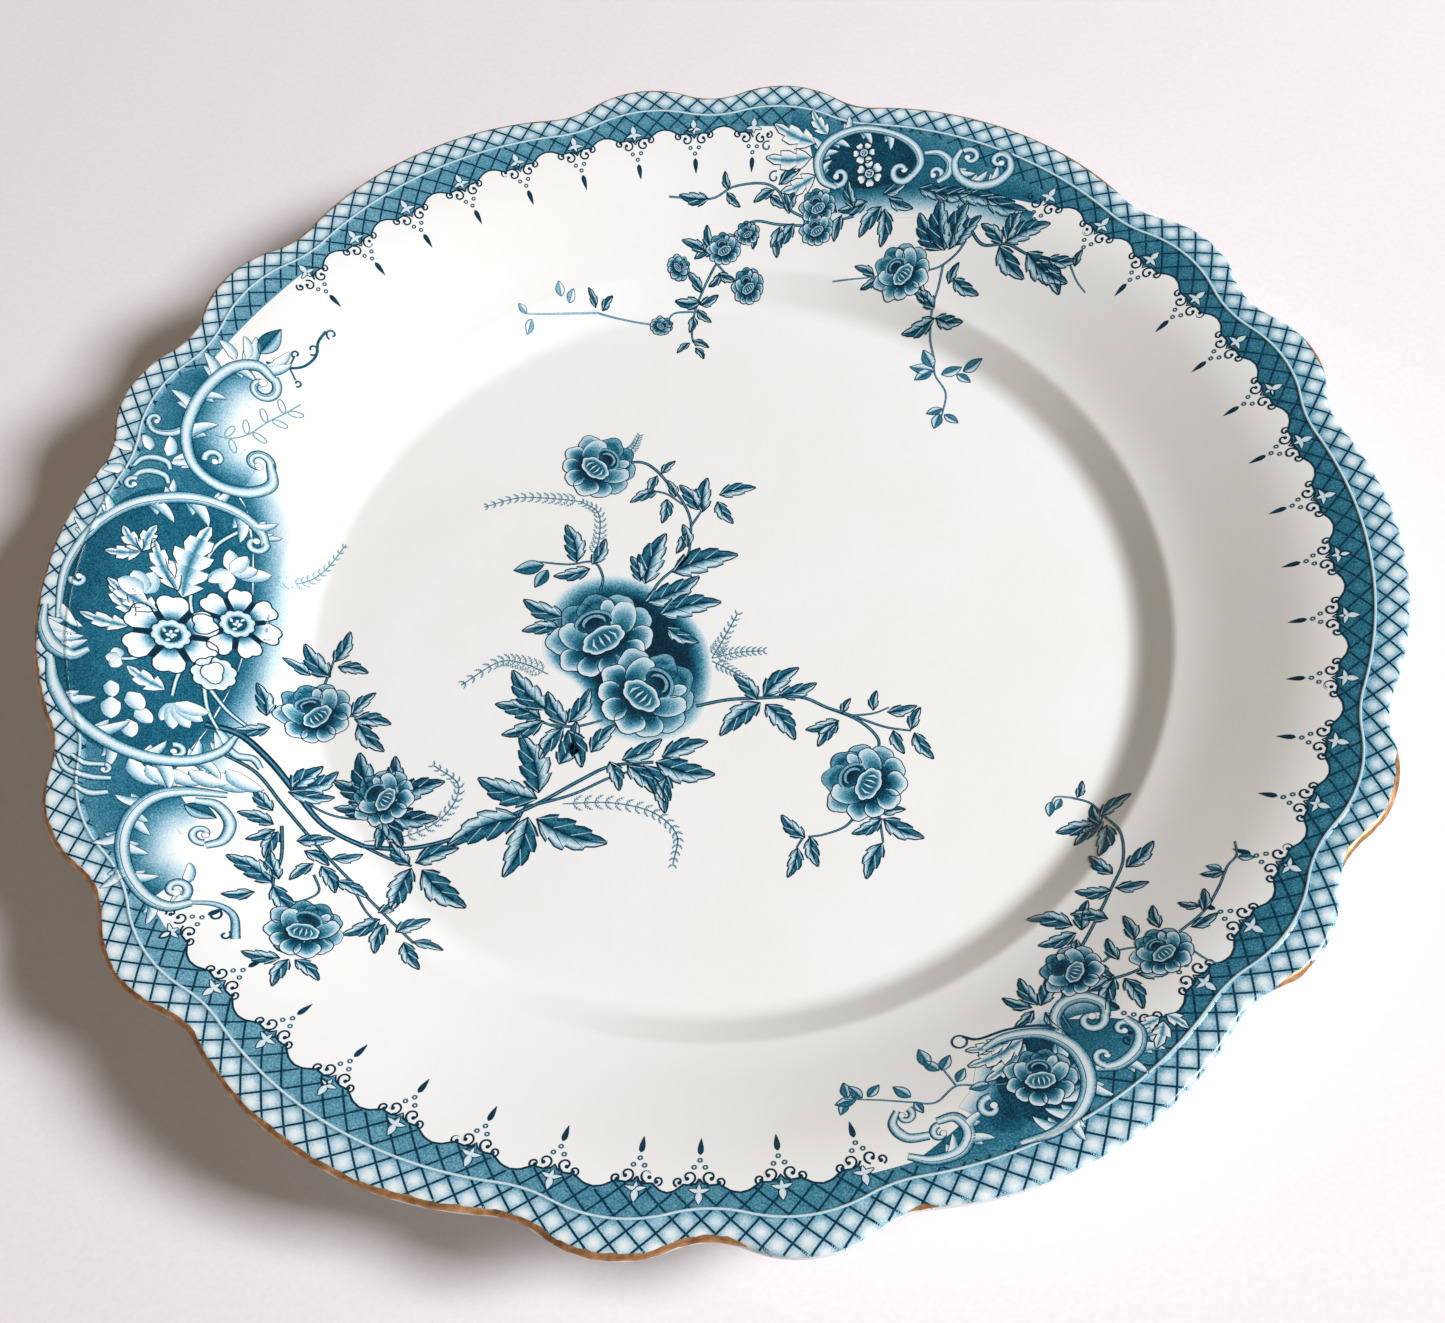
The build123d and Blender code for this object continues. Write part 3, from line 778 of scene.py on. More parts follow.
# ============================ Panels ========================================================
# Inner edges of the panels' dark grounds: radii at angles round the plate.
LEFT_GROUND_ANGLES = (147.5, 150, 155, 158, 160.5, 162.6, 165.2, 170.2, 176.9, 183.8, 189.8, 195.2, 199,
                      204, 208, 213)
LEFT_GROUND_RADII = (121, 118.5, 115, 113.5, 110, 103.7, 97.7, 93.9, 91.6, 91.7, 94.4, 99, 104.2, 111,
                     116.5, 120)
TOP_GROUND_ANGLES = (53, 56.7, 60.1, 64.3, 68.4, 73.1, 76.6, 78.3, 79.6, 82)
TOP_GROUND_RADII = (115, 113.4, 112.6, 110.8, 108.8, 106.4, 105.5, 108.3, 115, 119)
LOWER_GROUND_ANGLES = (283, 286, 290, 294, 298, 301, 304, 307, 309)
LOWER_GROUND_RADII = (119.5, 118, 115, 112, 106, 104, 106, 111, 116)


def panel_ground(ink, angles, radii, tones, limits):
    """A panel's ground: inner radii at angles, out to the raised line or to its own limits."""
    angle = np.arange(angles[0], angles[-1] + 0.1, 0.3)
    inner_r = np.interp(angle, angles, radii)
    outer = np.minimum(line_r(angle) - 1.0, np.interp(angle, *limits))
    outer = np.maximum(outer, inner_r)
    loft(ink, polar(inner_r, angle), polar(outer, angle), tones, 3, rows=30, fitted=True)


def left_panel():
    """The large panel: a dark oval with white flowers, framed by scrolls above and below."""
    ink = Print()
    limits = ((152, 156, 204, 209), (118.2, 124, 124, 118.2))
    panel_ground(ink, LEFT_GROUND_ANGLES, LEFT_GROUND_RADII, (0.74, 0.72, 0.68, 0.62, 0.56), limits)
    halo(ink, ((-99, 31), (-94.5, 25), (-92.5, 16), (-91.5, 5), (-91.5, -6), (-93, -16), (-95.5, -26),
               (-98.5, -34)), 7.5, 0.76, 3.4)
    blob(ink, oval(-108.4, -4.4, 16.6, 30.4, 0, 64), (0.7, 0.7, 0.72, 0.76, 0.78), 4, rows=14)
    halo(ink, ((-97, 57.5), (-103, 53), (-106, 45), (-106, 38), (-102, 31), (-96, 28)), 9.5, 0.82, 3.6)
    halo(ink, ((-98, -41), (-103, -45), (-105, -52), (-103.5, -59), (-98, -64)), 9.0, 0.82, 3.6)
    panel_frame(ink)
    panel_flowers(ink)
    panel_scrolls(ink)
    return ink.piece("printed_left_panel")


def panel_frame(ink):
    """The white scrolls round the dark oval."""
    acanthus(ink, ((-124.4, -6), (-125, 2), (-124.2, 8), (-121, 15), (-116, 20.2), (-110, 23.2),
                   (-103, 24.8), (-96, 23.6), (-91.6, 20.4), (-90.4, 17)),
             (0.9, 1.6, 1.9, 2.0, 2.2, 2.2, 2.0, 1.8, 1.4),
             ((0.30, 1, 4.4), (0.40, 1, 4.6), (0.52, -1, 5.6), (0.58, 1, 4.0), (0.64, -1, 6.0),
              (0.72, 1, 4.2), (0.78, -1, 5.6), (0.86, 1, 3.8), (0.92, 1, 3.2)), 7)
    curl(ink, -92.2, 17.6, 2.0, 10, -0.8, 1.3, 7)
    curl(ink, -122.0, 3.0, 1.6, 170, 0.8, 1.2, 6.8)
    flames(ink, ((-124.2, -3, 6.2, 282), (-123.6, -5, 5.0, 300)), 6.4, bend=0.25, wide=0.3)
    acanthus(ink, ((-127.4, -3.0), (-127.0, -7.8), (-124.4, -12.2), (-120.6, -14.2), (-117.8, -12.6)),
             (1.0, 2.0, 2.6, 2.2, 1.2), ((0.2, 1, 6.4), (0.36, 1, 6.2), (0.52, 1, 5.4)), 7)
    acanthus(ink, ((-124.4, -15.0), (-122.6, -21), (-118, -27.5), (-111, -32.4), (-104, -34.6),
                   (-97.4, -33.8), (-92.6, -30.6), (-90.6, -26.6)),
             (1.4, 2.2, 2.3, 2.2, 2.2, 2.0, 1.7, 0.8),
             ((0.2, 1, 5.6), (0.36, 1, 6.0), (0.44, -1, 5.0), (0.56, 1, 4.6), (0.6, -1, 6.0),
              (0.72, 1, 4.4), (0.74, -1, 5.0), (0.84, 1, 4.2), (0.92, 1, 3.8)), 7)
    curl(ink, -99.8, -32.2, 1.5, 120, -0.8, 1.1, 7.2)


def panel_flowers(ink):
    """The white flowers and leaves inside the oval."""
    for points in (
        ((-95, 20), (-99, 15.5), (-101, 9.6)), ((-102.2, 6), (-102.2, 2), (-101.4, -1.4)),
        ((-101.4, -12), (-102.2, -16), (-102.4, -20)), ((-97.4, -17), (-96, -22), (-93, -27)),
        ((-96.4, -17), (-93, -21), (-89, -24)), ((-113, -14), (-109.6, -13.2), (-107.4, -10.6)),
    ):
        scroll(ink, points, (0.8, 0.6), 5, (0.9, 0.05, 0.05, 0.9))
    white_leaf(ink, -103.6, 2.0, 17.5, 80, 0.46, 5)
    white_leaf(ink, -104.4, 3.4, 12.0, 118, 0.4, 4)
    white_leaf(ink, -107.0, -2.0, 11.5, 150, 0.42, 4)
    white_leaf(ink, -111.5, -6.4, 9.5, 168, 0.4, 3)
    white_leaf(ink, -110.8, -4.0, 9.5, 128, 0.38, 3)
    for angle in (75, 128, 186):
        white_leaf(ink, -111.6, 10.6, 6.8, angle, 0.55, 3)
    daisy(ink, -104.5, -6.5, 8.6, 2.9, 6, 95)
    daisy(ink, -93.6, -1.2, 7.8, 2.7, 7, 92)
    for angle in (66, 104, 142):
        flame(ink, -110.4, 1.4, 6.0, angle, 0.1, 0.62, 6)
    for angle in (8, 48, 88, 252, 212):
        flame(ink, -96.0, 10.2, 5.6, angle, 0.1, 0.5, 6)
    flame(ink, -95.4, 10.6, 7.6, -12, 0.15, 0.4, 6)
    for angle in (120, 180, 240):
        flame(ink, -112.2, -13.8, 2.9, angle, 0.0, 0.8, 6)
    frill = oval(-96.2, -13.4, 3.9, 3.7, points=36, wave=0.12, waves=9)
    blob(ink, frill, (0.1, 0.3, 0.12, 0.02), 6, rows=6)
    stroke(ink, frill, 0.28, 0.95, 6.6)
    heart = oval(-96.4, -13.2, 1.9, 2.3, points=20, wave=0.3, waves=3)
    blob(ink, heart, (0.0, 0.0, 0.05), 7)
    stroke(ink, heart, 0.24, 0.85, 7.4)
    white_leaf(ink, -103.6, -19.0, 8.0, 152, 0.5, 3)
    for angle in (235, 262, 290, 318, 340):
        flame(ink, -101.6, -21.6, 6.6 if angle > 240 else 5.4, angle, 0.12, 0.42, 6)
    for x, y, length, angle in ((-113, -19, 4.2, 285), (-112.4, -22.6, 5.4, 280), (-109.6, -21, 5.2, 310),
                                (-107.8, -24.4, 4.6, 320), (-108.8, -27, 4.6, 290)):
        flame(ink, x, y, length, angle, 0.0, 0.62, 6)


def white_leaves(ink, places, wide, teeth):
    """White leaves as (x, y, length, angle) of their bases."""
    for x, y, length, angle in places:
        white_leaf(ink, x, y, length, angle, wide, teeth)


def white_leaf(ink, x, y, length, angle, wide, teeth):
    """A toothed leaf left white on the dark ground, shaded along its midrib."""
    starts = np.arange(teeth) / teeth
    t = (starts[:, None] + np.array([0.04, 0.5, 1.08]) / teeth).ravel()
    t = np.concatenate([[0.0], np.minimum(t, 1.0), [1.0]])
    fill = np.concatenate([[0.3], np.tile((0.5, 0.86, 1.05), teeth), [0]])
    reach = leaf_body(np.clip(t - 0.03, 0, 1)) * fill
    rib = np.stack([t, 0.06 * np.sin(pi * t)], 1)
    for side in (1, -1):
        rim = turned(rib + np.stack([0 * t, side * reach * wide / 2], 1), x, y, angle, length)
        loft(ink, turned(rib, x, y, angle, length), rim, (0.62, 0.16, 0.0, 0.0), 5.4)
        stroke(ink, rim, 0.24, 0.95, 5.8)


TWIG_TONE = 0.42


def panel_scrolls(ink):
    """The open scrolls above and below the oval, and the leafy ends that reach the print's edge."""
    acanthus(ink, ((-91, 36), (-90.4, 31.4), (-94.6, 28.6), (-100, 28.8), (-104.6, 32), (-106.6, 38),
                   (-106, 44.4), (-103.6, 50.4), (-99.4, 55.4), (-94.6, 56.8), (-91.4, 54.4)),
             (1.2, 2.0, 2.2, 2.0, 1.8, 2.0, 2.2, 2.2, 2.2, 2.0, 1.4),
             ((0.40, 1, 4.0), (0.5, -1, 6.0), (0.6, 1, 5.4), (0.66, -1, 4.4), (0.74, 1, 5.8),
              (0.8, -1, 4.4), (0.86, 1, 6.0), (0.94, 1, 5.0)), 7)
    curl(ink, -93.4, 52.4, 3.1, 50, -0.9, 1.6, 7)
    curl(ink, -93.2, 35.6, 2.6, 340, 0.85, 1.5, 7)
    curl(ink, -101.0, 34.4, 1.9, 200, -0.8, 1.2, 7.2)
    scroll(ink, ((-107, 40), (-109.4, 38.6), (-112.4, 38.6), (-114.2, 40.4)), (1.6, 1.5, 1.2, 0.9), 7)
    curl(ink, -112.8, 41.2, 1.5, 240, -0.8, 1.0, 7)
    bud(ink, -94.4, 59.6, 7.4, 58, 6.4)
    flames(ink, ((-99, 57.4, 5.4, 100), (-96.6, 58, 5.2, 72), (-92, 57.6, 5.0, 18)), 6.2, wide=0.34)
    for width, points in (
        (0.55, ((-93, 58), (-89.6, 57.6), (-86, 58.6), (-83.6, 61.4), (-83.2, 64.6), (-81.8, 67.2))),
        (0.36, ((-88.6, 57.8), (-87.6, 60.6))),
        (0.36, ((-88.4, 57.6), (-87.2, 55.4))),
    ):
        stroke(ink, curve(points), width, 0.78, 5)
    for x, y, radius, way in ((-84.2, 62.8, 1.3, 1), (-80.6, 66.8, 1.2, -1), (-87.4, 61.0, 0.9, -1),
                              (-86.8, 54.8, 0.8, 1)):
        stroke(ink, spiral(x, y, radius, 250, way * 0.9), 0.4, 0.78, 5)
    twig = curve(((-103, 40), (-99, 39.6), (-95.4, 41.4), (-92, 45), (-89, 47.6), (-86, 50.4)))
    stroke(ink, twig, 0.28, TWIG_TONE, 5)
    for x, y, turn in ((-99.6, 39.8, 60), (-98.6, 39.6, 290), (-95.6, 41.4, 100), (-94.6, 42, 330),
                       (-92.2, 44.8, 110), (-91.2, 45.6, 345), (-89, 47.6, 110), (-88.4, 48, 0)):
        path = turned(oval(1.6, 0, 1.5, 0.62, points=12), x, y, turn)
        stroke(ink, path, 0.24, TWIG_TONE, 5)
    for y in (31.8, 28.6):
        arch = ((-115.6, y - 1.8), (-114.2, y), (-112, y + 0.6), (-109.6, y), (-108.8, y - 1.6))
        scroll(ink, arch, (0.7, 1.1, 1.2, 1.1, 0.7), 7)
    curl(ink, -115.4, 25.8, 1.5, 60, 0.8, 1.0, 7)
    flames(ink, ((-108.6, 31.6, 4.2, 20), (-109.6, 33.2, 4.6, 62), (-117, 28.6, 4.4, 150),
                 (-116.4, 33.6, 4.4, 130), (-113, 34, 4.0, 90)), 6.2, wide=0.5)
    scroll(ink, ((-119.4, -35.6), (-117.4, -38.6), (-113, -40), (-109.4, -40)), (0.7, 1.1, 1.1, 0.8), 7)
    scroll(ink, ((-117, -35.6), (-114.4, -37.2), (-111, -37.2)), (0.6, 1.0, 0.8), 7)
    curl(ink, -110.8, -38.2, 1.0, 90, -0.7, 0.8, 7)
    scroll(ink, ((-115.6, -42), (-112.4, -43.4), (-109.4, -43)), (0.7, 1.2, 0.9), 7)
    acanthus(ink, ((-90, -40), (-96.6, -40.6), (-101.6, -42.8), (-104.6, -47.4), (-105.2, -53),
                   (-103.4, -58.8), (-99.6, -63.6), (-95.4, -65.6), (-91.6, -64.4)),
             (1.0, 1.8, 2.2, 2.3, 2.2, 2.1, 2.0, 1.8, 1.2),
             ((0.3, -1, 4.6), (0.36, 1, 5.0), (0.46, -1, 4.8), (0.52, 1, 4.6), (0.62, -1, 5.0),
              (0.66, 1, 4.4), (0.8, -1, 4.2), (0.9, 1, 4.4)), 7)
    curl(ink, -94.6, -62.0, 2.2, 320, 0.9, 1.4, 7)
    scroll(ink, ((-95, -42.4), (-91.4, -42.6), (-88.6, -46), (-89, -50), (-91.6, -51.8)),
           (1.2, 1.7, 1.8, 1.6, 1.2), 7)
    curl(ink, -92.6, -49.4, 2.0, 290, -0.85, 1.2, 7)
    bud(ink, -96.6, -43.6, 6.0, 342, 6)
    flames(ink, ((-107, -35.4, 7.4, 290), (-104, -36.4, 6.6, 300), (-100.6, -36.4, 6.4, 312),
                 (-97, -36, 7.0, 318), (-93.6, -35.4, 7.6, 310), (-91, -34.4, 7.6, 305),
                 (-93.4, -60.4, 4.4, 62)), 6.2, shade=0.5, wide=0.4)
    scroll(ink, ((-92.2, -28.4), (-90, -30.8), (-87, -31), (-85.4, -33)), (0.8, 1.3, 1.2, 0.8), 7)
    tail = curve(((-92, -64.4), (-87.6, -64.2), (-84.4, -66.2), (-83.2, -71)))
    ribbon(ink, tail, (0.8, 1.3, 1.7), (0.95, 0.15, 0.25, 0.95), 6)
    for x, y, radius in ((-87.4, -66.4, 1.2), (-85.0, -70.4, 1.0)):
        stroke(ink, spiral(x, y, radius, 60, -0.9), 0.4, 0.85, 6)


def top_panel():
    """The small panel at the top: a round dark ground with a white ring, and scrolls beside it."""
    ink = Print()
    panel_ground(ink, TOP_GROUND_ANGLES, TOP_GROUND_RADII, (0.74, 0.72, 0.66, 0.6),
                 ((63, 67), (118.2, 122)))
    halo(ink, ((68, 90.4), (62, 94), (56, 97.4), (48, 99.8), (40, 101.2), (31, 101.8), (25, 102.6)),
         6.4, 0.8, 3)
    blob(ink, oval(33.4, 107.8, 10.4, 6.2, -8, 40), (0.86, 0.86, 0.92), 4, rows=7)
    acanthus(ink, ((26.4, 102.6), (23.4, 104.6), (22.8, 109), (26, 113), (32, 114.8), (38.6, 113.2),
                   (43.2, 109.8), (44.6, 105.6), (42.4, 102.4)),
             (0.9, 1.5, 1.9, 1.9, 1.6, 1.5, 1.7, 1.6, 1.2),
             ((0.16, -1, 3.4), (0.26, -1, 3.8), (0.36, -1, 4.0), (0.3, 1, 3.4), (0.5, -1, 3.8),
              (0.44, 1, 3.6), (0.62, -1, 3.8)), 6)
    curl(ink, 40.4, 104.2, 2.5, 330, -0.85, 1.4, 6.4)
    curl(ink, 27.0, 104.8, 2.0, 230, 0.85, 1.2, 6.4)
    daisy(ink, 33.6, 104.6, 2.8, 0.9, 6, 90, level=6)
    daisy(ink, 32.6, 109.2, 2.4, 0.8, 6, 60, level=6)
    scroll(ink, ((45.6, 107.6), (48.8, 107.2), (50.8, 104.8), (50.2, 102), (48, 100.8)),
           (0.8, 1.4, 1.7, 1.5, 1.0), 6)
    curl(ink, 47.6, 102.6, 1.7, 290, 0.8, 1.1, 6.4)
    acanthus(ink, ((53.4, 107.4), (51.8, 104.4), (52.6, 101), (56, 98.6), (60.4, 98.6), (63.4, 101),
                   (63.6, 104)),
             (0.9, 1.4, 1.6, 1.8, 1.8, 1.6, 1.2), ((0.25, 1, 3.8), (0.45, 1, 4.0), (0.62, 1, 3.8)), 6)
    curl(ink, 55.2, 105.4, 2.0, 130, -0.85, 1.2, 6.4)
    curl(ink, 61.4, 103.6, 2.2, 350, 0.85, 1.3, 6.4)
    leaves(ink, ((47, 98.6, 8.4, 352), (52, 97.6, 9.6, 335), (58, 95.6, 9.4, 332), (44, 100, 7.0, 330)),
           level=5, dark=0.1)
    white_leaves(ink, ((22.4, 112.4, 10.4, 150), (21.4, 109.4, 10.0, 176), (22, 105.6, 8.0, 200),
                       (25, 114, 7.0, 118)), 0.5, 3)
    for x, y, radius in ((11.6, 112.6, 1.2), (13.0, 106.0, 1.3), (17.4, 102.6, 1.0)):
        stroke(ink, spiral(x, y, radius, 60, 0.9), 0.34, 0.75, 4)
    return ink.piece("printed_top_panel")


def lower_panel():
    """The small panel at the lower right: a rose inside a white C-shaped scroll."""
    ink = Print()
    limits = ((286, 289, 299, 302), (118.2, 122, 122, 118.2))
    panel_ground(ink, LOWER_GROUND_ANGLES, LOWER_GROUND_RADII, (0.74, 0.72, 0.66, 0.6), limits)
    halo(ink, ((44, -106), (47, -101.6), (49, -95), (55, -91), (61, -87.6), (68, -87.4)), 4.2, 0.7, 3)
    blob(ink, oval(54.6, -98.8, 7.6, 8.6, 0, 40), (0.95, 0.9, 0.86), 4, rows=7)
    blob(ink, oval(48.6, -105.4, 3.6, 3.2, 30, 24), (0.9, 0.82, 0.76), 3.6, rows=5)
    acanthus(ink, ((45.6, -92.4), (49.4, -90.4), (55.4, -90.4), (60, -93.8), (61.8, -99.4),
                   (60.2, -104.8), (55.8, -108.8), (50, -110.6)),
             (0.9, 1.5, 1.9, 2.2, 2.3, 2.0, 1.5, 0.9),
             ((0.38, -1, 5.0), (0.5, -1, 5.0), (0.62, -1, 5.0), (0.74, -1, 4.6), (0.84, -1, 4.2),
              (0.6, 1, 4.0), (0.78, 1, 3.8)), 6)
    white_leaves(ink, ((52.4, -91.0, 10.6, 206), (52.6, -92.0, 10.0, 224), (50.6, -91.0, 8.0, 190)),
                 0.42, 4)
    stroke(ink, curve(((42.4, -89.4), (45, -90.2), (50, -88.8), (56, -88.8), (60, -91.4))), 0.5, 0.9, 6)
    ringlet(ink, 41.8, -90.4, 1.3, 0.36, 0.85, 5)
    rose(ink, 54.2, -98.8, 5.4, -100, 7, seed=33)
    curl(ink, 45.8, -104.0, 2.0, 90, 0.85, 1.2, 6.4)
    scroll(ink, ((30.6, -103.6), (29.8, -106.4), (32, -108.8), (35.6, -108.6)), (0.8, 1.5, 1.2), 6)
    curl(ink, 31.8, -104.6, 1.5, 60, -0.7, 1.0, 6.2)
    acanthus(ink, ((32, -112.2), (36, -113), (40.4, -111.6), (42, -108.2), (40, -105.4), (37, -106)),
             (0.9, 1.5, 1.8, 1.8, 1.5, 1.1), ((0.3, 1, 3.6), (0.5, -1, 3.8), (0.66, -1, 3.6)), 6)
    curl(ink, 37.4, -108.2, 1.5, 100, 0.7, 1.0, 6.2)
    scroll(ink, ((58.8, -92), (57.8, -88), (59.4, -84.8), (62.8, -83.8), (65.8, -85.6), (66, -88.4)),
           (0.9, 1.6, 1.9, 1.9, 1.6, 1.2), 6)
    curl(ink, 63.6, -88.6, 2.3, 20, -0.85, 1.3, 6.2)
    acanthus(ink, ((63.2, -98), (67, -97.6), (70.2, -95), (71, -91.6), (69, -89)),
             (1.0, 1.7, 1.9, 1.7, 1.1), ((0.3, -1, 3.8), (0.5, -1, 3.8), (0.7, -1, 3.6)), 6)
    curl(ink, 64.8, -95.8, 1.7, 270, -0.7, 1.1, 6.2)
    curl(ink, 68.4, -91.0, 1.5, 40, 0.7, 1.0, 6.2)
    white_leaves(ink, ((75, -90, 5.4, 250), (74.6, -89.4, 4.6, 200), (75.4, -89, 4.4, 320)), 0.6, 2)
    return ink.piece("printed_lower_panel")


# ============================ Sprays ========================================================
def leaves(ink, places, level=4, **shape):
    """Leaves as (x, y, length, angle) of their bases. Longer ones have more teeth."""
    for number, (x, y, length, angle) in enumerate(places):
        teeth = 2 if length < 6 else 3 if length < 9.5 else 4
        bend = 0.07 if number % 2 else -0.07
        leaf(ink, x, y, length, angle, teeth=teeth, bend=bend, level=level + 0.3 * (number % 3), **shape)


def buds(ink, places, level=4, pale=0.0):
    """Buds as (x, y, length, angle) of their bases."""
    for x, y, length, angle in places:
        bud(ink, x, y, length, angle, level, pale)


def centre_spray():
    """The roses in the well, two of them on a dark cloud of ink."""
    ink = Print()
    cloud = curve(((-33, 6), (-27, 12), (-17, 12), (-8, 6), (-2, -3), (-1, -14), (-5, -23), (-14, -26),
                   (-23, -22), (-27, -13), (-34, -6)), closed=True)
    middle = np.array([-17.0, -6.0])
    core = middle + (cloud - middle) * 0.66
    loft(ink, core, cloud, (0.97, 0.9, 0.66, 0.3, 0.0), 1, rows=8)
    blob(ink, core, (0.97, 0.97), 1, rows=6)
    for leaflet, points in (
        (2.6, ((-33, -10), (-38, -7.4), (-43, -7), (-50, -12))),
        (2.2, ((-1, -7.4), (1, -3.6), (4, 2.6))),
        (2.2, ((-1, -7.4), (4, -6.2), (9, -6))),
        (1.8, ((-1, -8), (3, -10.4), (6, -12.6))),
        (1.8, ((-20, 42), (-17.6, 44.4), (-16.4, 47.4))),
        (2.2, ((-25, 17), (-24, 22), (-24.4, 28), (-28, 31))),
        (2.2, ((-28, 31), (-34, 32), (-41, 32.4), (-48, 30.4))),
        (2.2, ((-29, -38.4), (-20, -38.4), (-12, -40.6), (-7.4, -45.4), (-8, -51.4))),
        (2.2, ((-66, -45.4), (-57, -44), (-51, -40), (-49, -34), (-54, -29.6))),
    ):
        fern(ink, points, leaflet)
    for width, points in (
        (1.0, ((-66, -46.4), (-58, -47), (-50, -45.4), (-42, -42), (-34, -38.4), (-26, -33.6),
               (-20, -30.6), (-12, -30))),
        (0.7, ((-34, -38.4), (-27, -36.4), (-20, -33), (-13, -31))),
        (0.8, ((-4, -18), (2, -16.8), (8, -16.6), (16, -16.6), (21, -19), (27, -22), (30.6, -26),
               (30.4, -29.4))),
        (0.6, ((21, -19), (26, -21), (32, -23.6), (37, -24.6))),
        (0.5, ((26, -21), (30, -20.6), (33, -19.4))),
        (0.55, ((26.4, -41.4), (24, -44.4), (20, -46), (17, -46.4))),
        (0.5, ((16, -46.6), (14.8, -48.6))),
        (0.55, ((30, -41), (30.4, -44), (30.8, -48))),
        (0.7, ((-19.4, 40.6), (-15.4, 40.4), (-12.4, 38), (-9.6, 34), (-7, 30), (-5.4, 25), (-5.6, 18))),
        (0.6, ((-5.4, 24), (-4, 26.4), (-2.6, 29))),
        (0.5, ((-12.4, 33), (-10, 32), (-7, 29.4))),
        (0.7, ((-14, 6), (-11.4, 11), (-6.4, 16), (-5.4, 20))),
        (0.6, ((-23.4, 9), (-23, 12.4), (-25, 16), (-30, 15.6), (-36, 16.4))),
        (0.8, ((-37.4, -41.6), (-36, -39), (-34, -38.4))),
        (0.7, ((-32, -21.4), (-27, -21.8), (-22, -20.6))),
        (0.6, ((-35, -20), (-32, -21.4), (-29.4, -22.4))),
    ):
        stem(ink, points, width)
    leaves(ink, (
        (-28.4, 16, 9.6, 105), (-25.6, 14.4, 7.4, 192), (-25.2, 15.4, 6.6, 68), (-14.4, 10.4, 12.6, 72),
        (-15.4, 11, 6.4, 108), (-9, 13, 13.6, 16), (-14.4, 6, 12.2, 28), (-11.4, 3, 12.4, 12),
        (-10, 0, 7.4, 330), (-30.4, 3, 9.4, 152), (-31, 0.4, 7.6, 182), (-33, -18, 11.4, 128),
        (-34, -20, 9.6, 158), (-33.4, -20.4, 8.4, 200), (-28.6, -21, 8.4, 62), (-29, -21.4, 8.4, 118),
        (-29.6, -22, 8, 238), (-28.6, -22.6, 8.6, 290), (-33.6, -36, 13.4, 108),
        (-33.8, -37.2, 12.4, 158), (-30, -30, 9.6, 72), (-24, -27.6, 7.6, 52), (-36.8, -41, 14.4, 202),
        (-35.4, -41, 12.8, 252), (-33.8, -41.4, 14.4, 338), (-20.4, -29.6, 6.6, 288),
        (-18, -29.4, 8.6, 30), (-14, -30.6, 9.2, 300), (-11.6, -30, 11.6, 345), (-10.4, -29, 9.2, 20),
        (-9.4, -33, 7.8, 268), (-17, -30.6, 8.2, 312), (8.4, -17.6, 10.4, 222), (9.4, -18, 9.6, 305),
        (7.8, -17, 7.2, 128), (9, -16.2, 9.2, 42), (12, -16, 7.6, 18), (23.4, -22, 6.6, 196),
        (23.2, -22.4, 6.4, 232), (24, -20.4, 3.6, 62), (32.6, -20.4, 5.8, 12), (30, -20, 4.4, 80),
        (33.6, -24.4, 5.4, 290), (37, -24.4, 5.2, 68), (37.6, -25, 6.6, 300), (30.8, -43, 6.4, 208),
        (31, -43, 8.4, 330), (30.6, -42, 4.6, 10), (30.6, -48, 7.8, 246), (16.4, -46.6, 6.4, 132),
        (17.4, -46.4, 6.2, 282), (15, -48.6, 6.2, 252), (-12.4, 37, 4.8, 250), (-11.6, 37.4, 4.2, 48),
        (-12.4, 33, 6.0, 205), (-10.4, 31, 6.0, 262), (-8.6, 31.4, 4.6, 112), (-3, 27.4, 8.6, 84),
        (-4, 28, 7.4, 120), (0.4, 31.6, 7.6, 12), (0, 30, 6.4, 300), (-6.4, 22.4, 5.2, 250),
        (-6, 19, 5.6, 100),
    ))
    buds(ink, ((-35, 15.6, 6.2, 190), (-34.2, 14.4, 4.8, 240)), level=5)
    rose(ink, -23.0, -1.2, 9.6, -72, 6, seed=3)
    rose(ink, -13.6, -14.6, 9.2, -150, 9, seed=8)
    rose(ink, -24.6, 40.0, 7.4, -150, 6, seed=4)
    rose(ink, 27.6, -35.2, 7.6, -40, 6, seed=5)
    return ink.piece("printed_centre_spray")


